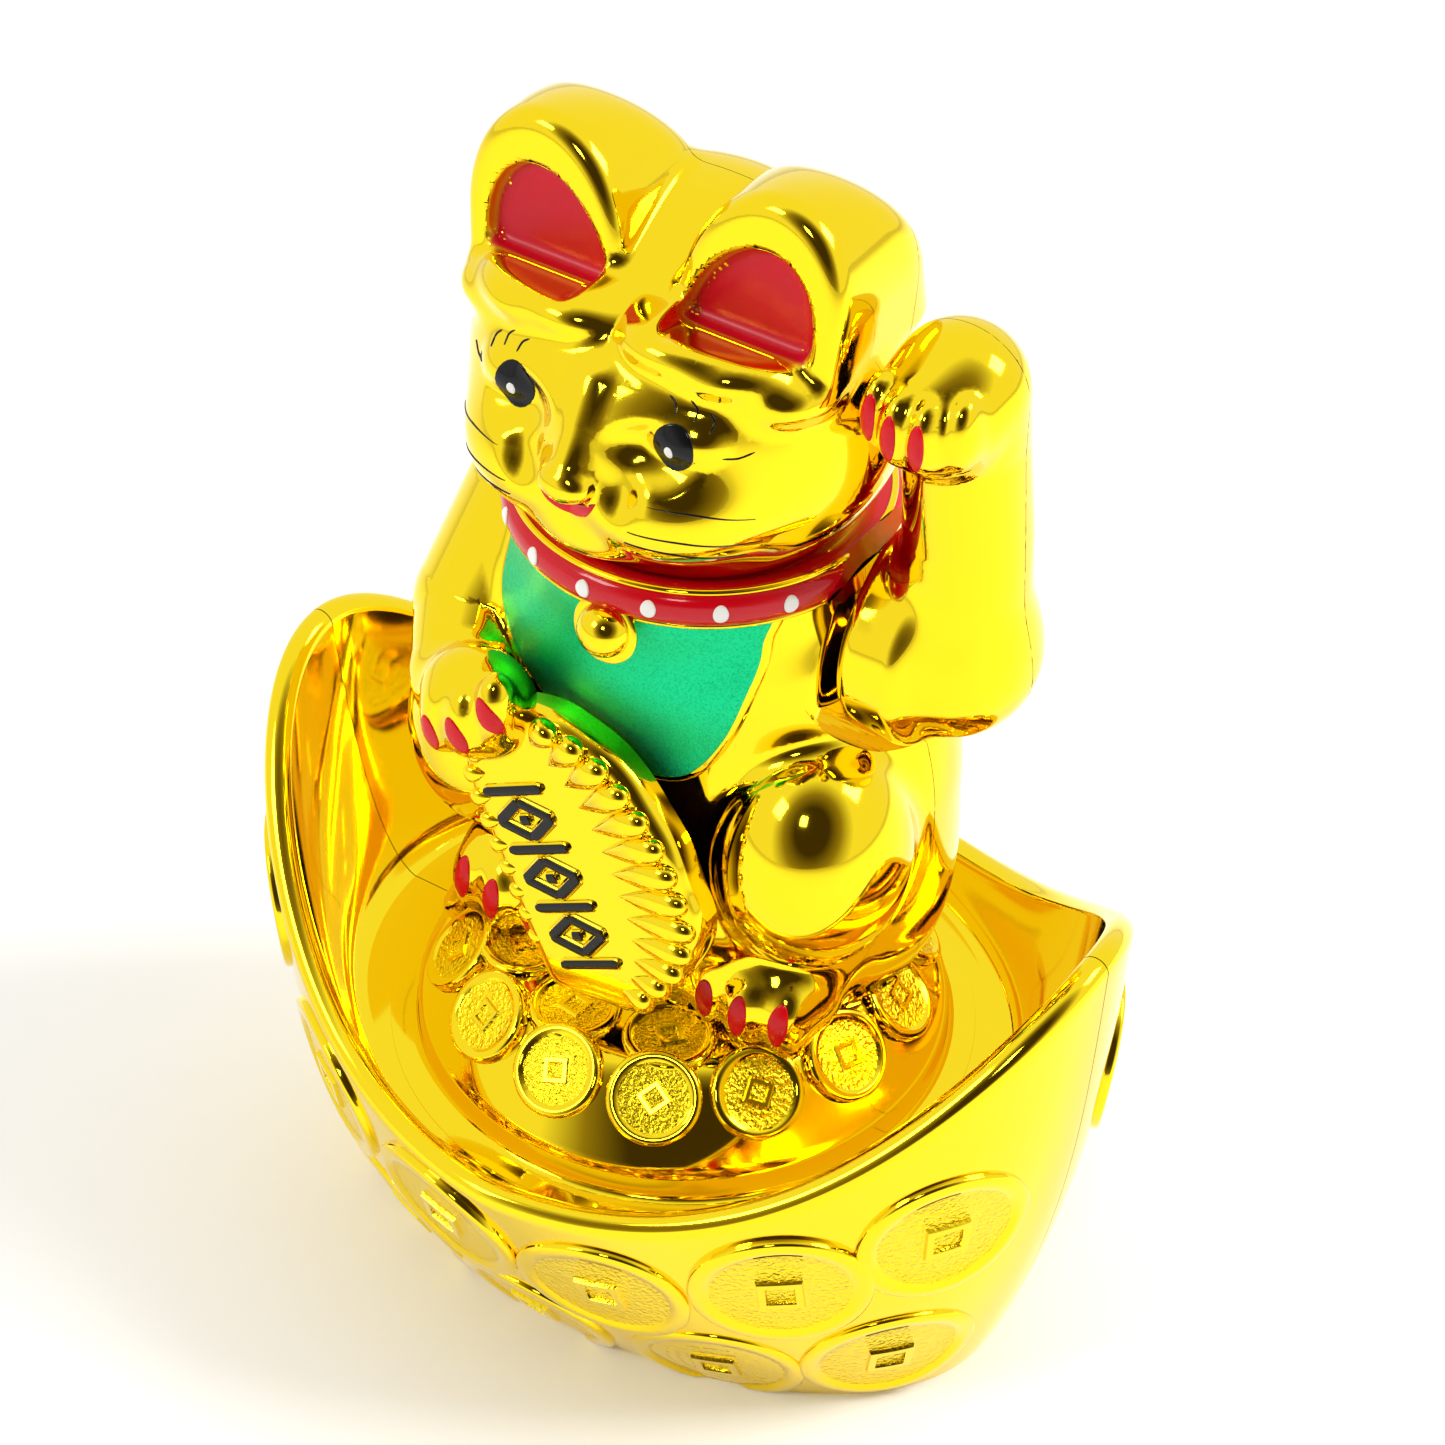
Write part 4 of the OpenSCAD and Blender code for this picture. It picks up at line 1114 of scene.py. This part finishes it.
def build_claws(settings):
    """Red claws of both feet and both paws."""
    red = enamel("claw enamel", settings.red, 0.2)
    parts = []
    for sign in (1, -1):
        for x, z in CLAWS_FOOT:
            parts.append(spot("claw", oval(x * sign, z, 1.5, 3.6, 0, 0.3), cat_distance, 0.1))
    for x, z, turn in CLAWS_HAND:
        parts.append(spot("claw", oval(x, z, 1.5, 3.2, turn, 0.5), cat_distance, 0.1))
    claws = join("claws", parts)
    lacquer(claws, red)
    parts = [spot("claw", oval(x, z, 1.15, 3.6, 0, 0.3), arm_distance, 0.1) for x, z in CLAWS_WAVE]
    claws = join("arm_claws", parts)
    lacquer(claws, red, body="arm")


def build_collar(settings):
    """Collar with piping and dots, bell and bib."""
    red = enamel("collar enamel", settings.collar_red, 0.12, 0.15)
    white = enamel("dot enamel", (0.85, 0.85, 0.83), 0.3)
    plating = gold_plating(settings, "trim plating")
    centre = np.array([0.0, 1.5, SEAT + 79.5])
    ring_r, half_r, half_z = 24.6, 2.8, 2.9
    band = ring_band("collar", centre, circle(ring_r, 0.0, half_r, half_z, 28, 0.85))
    cut_recess(band)
    dress(band, red)
    for name, height in (("collar_piping_low", -2.75), ("collar_piping_high", 2.75)):
        piping = ring_band(name, centre, circle(25.9, height, 0.5, 0.45, 12))
        cut_recess(piping)
        dress(piping, plating)

    def band_distance(p):
        q = p - centre
        r = np.hypot(q[:, 0], q[:, 1]) - ring_r
        c = np.sqrt((r / half_r) ** 2 + (q[:, 2] / half_z) ** 2)
        return (c - 1.0) * 0.5 * (half_r + half_z) - 0.12

    dots = []
    flat, heights, faces = patch_grid(oval(0, 0.25, 1.05, 1.35, count=20), ((0, 0), (0.15, 0.1), (0.3, 0.1)), 3)
    for turn in np.radians(np.arange(-22.0, 338.0, 20.0)):
        c, s = math.cos(turn), math.sin(turn)
        if (ring_r + half_r) * s > RECESS_FLOOR - 1.0:
            continue
        x, y = flat[:, 0], AT_THE_CHEST
        starts = np.stack([x * c - y * s, x * s + y * c, flat[:, 1]], 1) + centre
        dots.append(film("dot", starts, heights + 0.03, faces, band_distance, (-s, c, 0)))
    spots = join("collar_dots", dots)
    lacquer(spots, white)

    profile = [(0.0, 3.9)] + [(3.9 * math.sin(a), 3.9 * math.cos(a)) for a in np.linspace(0.12, 1.45, 12)]
    profile += [(4.0, 0.45), (4.75, 0.4), (4.95, 0.2), (4.9, -0.2), (4.6, -0.5), (3.2, -1.6), (0.0, -2.4)]
    count = 48
    rows = turned(profile, count)
    tilt = np.array(Matrix.Rotation(math.radians(80), 3, "X"))
    bell = mesh_object("bell", np.array(rows).reshape(-1, 3) @ tilt.T + np.array([2.2, -25.0, SEAT + 74.0]),
                       grid_faces(len(rows), count, True))
    close_up(bell)
    smooth(bell, 50)
    dress(bell, plating)

    pad_steps = ((0.0, 0.0), (0.12, 0.4), (0.35, 0.68), (0.7, 0.85), (1.1, 0.9), (1.5, 0.9))
    pad = patch("bib_pad", BIB, torso_distance, pad_steps, 160, 0.0, AT_THE_CHEST)
    lacquer(pad, plating)
    inner = inset(round_off(BIB, 160), 1.25)
    flat, heights, faces = patch_grid(inner, ((0.0, 0.0), (0.15, 0.08), (0.4, 0.1), (1.0, 0.1)), 12)
    cloth = film("bib", on_front(flat, AT_THE_CHEST), heights + 0.9, faces, torso_distance)
    lacquer(cloth, glitter_green())


PLAQUE = [(-13.4, 53.6), (-6.7, 55.6), (-1.0, 54.6), (3.6, 52.9), (7.4, 50.0), (11.0, 45.8), (14.6, 41.0),
          (17.2, 35.2), (19.4, 29.8), (18.9, 23.7), (15.6, 16.5), (10.2, 9.0), (3.3, 7.4), (-4.6, 6.6),
          (-8.8, 13.4), (-13.0, 22.8), (-17.2, 32.1), (-20.6, 40.6), (-18.6, 48.0)]
# rows of flutes, each from its inner to its outer end, on the right and on the left border
FLUTES_IN = [(-8.4, 50.2), (-3.4, 46.2), (1.0, 41.0), (4.2, 35.2), (6.4, 29.4), (8.0, 23.2), (8.2, 17.0),
             (6.4, 12.4)]
FLUTES_OUT = [(-5.0, 55.2), (1.6, 53.6), (8.0, 49.0), (13.0, 43.0), (17.0, 35.4), (19.0, 28.6), (17.6, 20.6),
              (12.6, 12.4)]
LEFT_FLUTES = [(-14.6, 48.6), (-16.4, 41.4), (-13.4, 33.0), (-9.6, 24.6), (-5.6, 15.6)]
PLAQUE_FACE = -27.6


def plaque_distance(p):
    """Distance in front of the plaque's face."""
    return PLAQUE_FACE + 0.03 * (p[:, 2] - SEAT - 31.0) - p[:, 1]


def flute(inner, outer, half, rise):
    """One rounded wedge on the plaque's border, from its inner to its outer end."""
    middle = 0.5 * (inner + outer)
    reach = 0.5 * np.linalg.norm(outer - inner)
    turn = math.atan2(outer[1] - inner[1], outer[0] - inner[0])
    deselect()
    bpy.ops.mesh.primitive_uv_sphere_add(segments=32, ring_count=24, radius=1.0)
    wedge = named("flute")
    p = points_of(wedge) * MM
    full = 0.12 + 0.88 * (0.5 + 0.5 * p[:, 0]) ** 0.8
    p[:, 1:] *= 1.15 * full[:, None]
    p = p * np.array([reach, rise, half])
    c, s = math.cos(turn), math.sin(turn)
    place = np.array([middle[0], PLAQUE_FACE + 0.1, middle[1] + SEAT])
    set_points(wedge, np.stack([p[:, 0] * c - p[:, 2] * s, p[:, 1], p[:, 0] * s + p[:, 2] * c], 1) + place)
    return wedge


def ornament_lines():
    """Bars and lozenges in turn down the plaque's middle, as strokes in the x-z plane."""
    across, down = np.array([0.88, 0.474]), np.array([0.474, -0.88])
    top = np.array([-11.4, 40.6])
    lines = [[(-5.4, v), (5.4, v)] for v in (0.0, 9.6, 19.2, 28.8)]
    for v in (4.8, 14.4, 24.0):
        loop = [(-4.9, v), (0.0, v + 2.9), (4.9, v), (0.0, v - 2.9)]
        lines += [[a, b] for a, b in zip(loop, loop[1:] + loop[:1])]
        lines.append([(-0.8, v), (0.8, v)])
    return [[top + u * across + v * down for u, v in line] for line in lines]


def build_plaque(settings):
    """The oval plaque with its fluted border and an ornament of bars and lozenges."""
    plating = gold_plating(settings, "plaque plating")
    outline = round_off(PLAQUE, 180)
    steps = ((0.0, -4.0), (0.0, -2.6), (0.2, -1.6), (0.7, -0.8), (1.4, -0.25), (2.2, 0.0), (2.8, 0.0))
    flat, heights, faces = patch_grid(outline, steps, 10)
    plate = film("plaque", on_front(flat), heights, faces, plaque_distance, sink=5.0)
    smooth(plate, 50)
    dress(plate, plating)
    inner = round_off(FLUTES_IN, 13, closed=False)
    outer = round_off(FLUTES_OUT, 13, closed=False)
    wedges = [flute(a, b, 2.75, 2.2) for a, b in zip(inner, outer)]
    left_in = round_off(LEFT_FLUTES, 10, closed=False)
    left_out = left_in + np.array([-3.2, -1.4])
    wedges += [flute(a, b, 1.7, 1.0) for a, b in zip(left_in, left_out)]
    border = join("plaque_flutes", wedges)
    smooth(border)
    dress(border, plating)
    lines = ornament_lines()
    under = join("ornament_edges", [stroke("edge", line, 2.3, plaque_distance, 0.5, 0.0, 0.06, 0.6)
                                    for line in lines])
    lacquer(under, plating)
    paint = enamel("ornament enamel", (0.005, 0.005, 0.005), 0.2)
    over = join("ornament", [stroke("line", line, 1.5, plaque_distance, 0.16, 0.48, 0.06, 0.6)
                             for line in lines])
    lacquer(over, paint)


# ---------------------------------------------------------------- carried-over pieces
# colour, roughness and metallic share of each slot of the works
WORKS = {
    "zinc_steel": ((0.62, 0.64, 0.66), 0.32, 1.0),
    "ivory_plastic": ((0.72, 0.69, 0.58), 0.42, 0.0),
    "copper_wire": ((0.72, 0.27, 0.09), 0.25, 1.0),
    "board_green": ((0.02, 0.16, 0.05), 0.35, 0.0),
    "black_plastic": ((0.02, 0.02, 0.022), 0.45, 0.0),
    "capacitor_sleeve": ((0.02, 0.025, 0.10), 0.3, 0.0),
    "spring_steel": ((0.60, 0.61, 0.62), 0.22, 1.0),
    "cell_jacket": ((0.05, 0.08, 0.16), 0.3, 0.2),
    "red_insulation": ((0.50, 0.01, 0.01), 0.4, 0.0),
    "black_insulation": ((0.012, 0.012, 0.012), 0.4, 0.0),
    "magnet_nickel": ((0.56, 0.57, 0.60), 0.14, 1.0),
}


def plain_materials(settings):
    """Procedural materials for the frame's own pieces, by record slot."""
    made = {"gold_plating": gold_plating(settings, "base plating")}
    for name, (colour, rough, metal) in WORKS.items():
        material = shader(name, colour, rough, metal)
        vary_roughness(material, 300.0, rough * 0.8, min(1.0, rough * 1.25))
        add_bump(material, noise(material, 900.0), 0.3, 0.04)
        made[name] = material
    return made


def build_works(settings):
    """Gives the frame's own pieces their materials."""
    made = plain_materials(settings)
    slots = {part["node"]: part["material_slot"] for part in frame["record"]["subparts"]}
    for node, obj in frame["nodes"].items():
        obj.data.materials.clear()
        obj.data.materials.append(made[slots[node]])


# ---------------------------------------------------------------- stage
def set_camera(scene):
    """The camera, aimed at the cat from above its left front."""
    azimuth, elevation, roll = math.radians(31.70), math.radians(40.47), math.radians(1.92)
    away = 534.4
    back = Vector((math.sin(azimuth) * math.cos(elevation), -math.cos(azimuth) * math.cos(elevation),
                   math.sin(elevation)))
    right = Vector((math.cos(azimuth), math.sin(azimuth), 0.0))
    up = back.cross(right)
    side = math.cos(roll) * right + math.sin(roll) * up
    top = -math.sin(roll) * right + math.cos(roll) * up
    target = Vector((3.90, 2.19, 97.46)) * MM
    data = bpy.data.cameras.new("camera")
    data.lens = 93.86
    data.sensor_width = 36.0
    data.clip_start = 0.01
    camera = bpy.data.objects.new("camera", data)
    scene.collection.objects.link(camera)
    turn = Matrix((side, top, back)).transposed().to_4x4()
    camera.matrix_world = Matrix.Translation(target + back * away * MM) @ turn
    scene.camera = camera


def lay_floor():
    """A plain pale floor."""
    deselect()
    bpy.ops.mesh.primitive_plane_add(size=6.0, location=(0, 0, 0))
    floor = named("floor")
    paper = shader("paper", (0.92, 0.92, 0.92), 0.85)
    vary_roughness(paper, 30.0, 0.8, 0.9)
    floor.data.materials.append(paper)


def set_sky(scene, brightness):
    """White walls all round with one soft dark field, which the mirrors pick up."""
    world = bpy.data.worlds.new("studio")
    scene.world = world
    world.use_nodes = True
    nodes, links = world.node_tree.nodes, world.node_tree.links
    coords = nodes.new("ShaderNodeTexCoord")
    dot = nodes.new("ShaderNodeVectorMath")
    dot.operation = "DOT_PRODUCT"
    aim = Vector((0.46, -0.72, 0.52)).normalized()
    dot.inputs[1].default_value = aim
    ramp = nodes.new("ShaderNodeValToRGB")
    white, dark = ramp.color_ramp.elements
    white.position = 0.60
    white.color = (1.0, 1.0, 1.0, 1.0)
    dark.position = 0.93
    dark.color = (0.05, 0.034, 0.016, 1.0)
    middle = ramp.color_ramp.elements.new(0.80)
    middle.color = (0.30, 0.24, 0.17, 1.0)
    links.new(coords.outputs["Generated"], dot.inputs[0])
    links.new(dot.outputs["Value"], ramp.inputs["Fac"])
    background = nodes["Background"]
    links.new(ramp.outputs["Color"], background.inputs["Color"])
    background.inputs["Strength"].default_value = brightness


def hang_lamp(scene, name, place, size, power):
    """A square soft light, in metres and watts, aimed at the middle of the cat."""
    light = bpy.data.lights.new(name, "AREA")
    light.size = size
    light.energy = power
    lamp = bpy.data.objects.new(name, light)
    scene.collection.objects.link(lamp)
    lamp.location = place
    lamp.rotation_euler = (Vector((0, 0, 0.1)) - Vector(place)).to_track_quat("-Z", "Y").to_euler()


def build_stage(settings):
    """Camera, floor, sky and soft lights."""
    scene = bpy.context.scene
    scene.view_settings.view_transform = "Standard"
    set_camera(scene)
    lay_floor()
    set_sky(scene, settings.sky)
    hang_lamp(scene, "key", (0.9, 0.5, 1.0), 0.5, settings.key)
    hang_lamp(scene, "window", (-0.5, -0.9, 0.9), 0.35, 5.0)
    hang_lamp(scene, "front", (0.34, -1.0, 0.95), 0.2, 2.0)


# ---------------------------------------------------------------- add-on
class CatLooks(bpy.types.PropertyGroup):
    """Sizes and light levels of the visual pieces."""

    cell: FloatProperty(name="Cat cell", description="Mesh cell of the cat's skin", default=0.8 * MM,
                        min=0.4 * MM, unit="LENGTH", subtype="DISTANCE")
    arm_cell: FloatProperty(name="Arm cell", description="Mesh cell of the arm's skin", default=0.7 * MM,
                            min=0.4 * MM, unit="LENGTH", subtype="DISTANCE")
    cat_wall: FloatProperty(name="Cat wall", description="Wall of the cat's and the arm's shells",
                            default=1.2 * MM, unit="LENGTH", subtype="DISTANCE")
    ingot_wall: FloatProperty(name="Ingot wall", description="Wall of the ingot's shells",
                              default=1.6 * MM, unit="LENGTH", subtype="DISTANCE")
    gold: FloatVectorProperty(name="Gold", description="Colour of the plating", default=(0.94, 0.70, 0.016),
                              min=0.0, max=1.0, subtype="COLOR")
    red: FloatVectorProperty(name="Red", description="Colour of lips and claws", default=(0.66, 0.002, 0.008),
                             min=0.0, max=1.0, subtype="COLOR")
    collar_red: FloatVectorProperty(name="Collar red", description="Colour of the collar",
                                    default=(0.58, 0.002, 0.010), min=0.0, max=1.0, subtype="COLOR")
    ear_red: FloatVectorProperty(name="Ear red", description="Colour of the ears' linings",
                                 default=(0.60, 0.002, 0.016), min=0.0, max=1.0, subtype="COLOR")
    sky: FloatProperty(name="Sky", description="Brightness of the studio's walls", default=1.0, min=0.0)
    key: FloatProperty(name="Key light", description="Power of the main light in watts", default=14.0, min=0.0)


class CAT_OT_ingot(bpy.types.Operator):
    """Build the ingot's shells and coins"""

    bl_idname = "cat.ingot"
    bl_label = "Ingot"

    def execute(self, context):
        build_ingot(context.scene.cat_looks)
        return {"FINISHED"}


class CAT_OT_bed(bpy.types.Operator):
    """Build the coin bed"""

    bl_idname = "cat.bed"
    bl_label = "Coin bed"

    def execute(self, context):
        build_bed(context.scene.cat_looks)
        return {"FINISHED"}


class CAT_OT_body(bpy.types.Operator):
    """Build the cat's shells"""

    bl_idname = "cat.body"
    bl_label = "Cat"

    def execute(self, context):
        build_cat(context.scene.cat_looks)
        return {"FINISHED"}


class CAT_OT_arm(bpy.types.Operator):
    """Build the waving arm"""

    bl_idname = "cat.arm"
    bl_label = "Waving arm"

    def execute(self, context):
        build_arm(context.scene.cat_looks)
        return {"FINISHED"}


class CAT_OT_face(bpy.types.Operator):
    """Paint the face"""

    bl_idname = "cat.face"
    bl_label = "Face"

    def execute(self, context):
        build_face(context.scene.cat_looks)
        return {"FINISHED"}


class CAT_OT_claws(bpy.types.Operator):
    """Paint the claws"""

    bl_idname = "cat.claws"
    bl_label = "Claws"

    def execute(self, context):
        build_claws(context.scene.cat_looks)
        return {"FINISHED"}


class CAT_OT_collar(bpy.types.Operator):
    """Build the collar, bell and bib"""

    bl_idname = "cat.collar"
    bl_label = "Collar and bib"

    def execute(self, context):
        build_collar(context.scene.cat_looks)
        return {"FINISHED"}


class CAT_OT_plaque(bpy.types.Operator):
    """Build the plaque"""

    bl_idname = "cat.plaque"
    bl_label = "Plaque"

    def execute(self, context):
        build_plaque(context.scene.cat_looks)
        return {"FINISHED"}


class CAT_OT_works(bpy.types.Operator):
    """Finish the frame's own pieces"""

    bl_idname = "cat.works"
    bl_label = "Works"

    def execute(self, context):
        build_works(context.scene.cat_looks)
        return {"FINISHED"}


class CAT_OT_stage(bpy.types.Operator):
    """Set the camera, the floor and the light"""

    bl_idname = "cat.stage"
    bl_label = "Stage"

    def execute(self, context):
        build_stage(context.scene.cat_looks)
        return {"FINISHED"}


class CAT_PT_panel(bpy.types.Panel):
    """Sidebar panel of the cat"""

    bl_label = "Beckoning Cat"
    bl_idname = "CAT_PT_panel"
    bl_space_type = "VIEW_3D"
    bl_region_type = "UI"
    bl_category = "Beckoning Cat"

    def draw(self, context):
        looks = context.scene.cat_looks
        for name in looks.bl_rna.properties.keys():
            if name not in ("rna_type", "name"):
                self.layout.prop(looks, name)
        for operator in OPERATORS:
            self.layout.operator(operator.bl_idname)


OPERATORS = (CAT_OT_ingot, CAT_OT_bed, CAT_OT_body, CAT_OT_arm, CAT_OT_face, CAT_OT_claws,
             CAT_OT_collar, CAT_OT_plaque, CAT_OT_works, CAT_OT_stage)
CLASSES = (CatLooks, *OPERATORS, CAT_PT_panel)


def register():
    """Registers the add-on's classes."""
    for cls in CLASSES:
        bpy.utils.register_class(cls)
    bpy.types.Scene.cat_looks = PointerProperty(type=CatLooks)


def unregister():
    """Takes the add-on's classes out again."""
    del bpy.types.Scene.cat_looks
    for cls in reversed(CLASSES):
        bpy.utils.unregister_class(cls)


def main():
    """Builds every piece."""
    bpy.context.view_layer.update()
    register()
    bpy.ops.cat.ingot()
    bpy.ops.cat.bed()
    bpy.ops.cat.body()
    bpy.ops.cat.arm()
    bpy.ops.cat.face()
    bpy.ops.cat.claws()
    bpy.ops.cat.collar()
    bpy.ops.cat.plaque()
    bpy.ops.cat.works()
    bpy.ops.cat.stage()


if __name__ == "__main__":
    main()
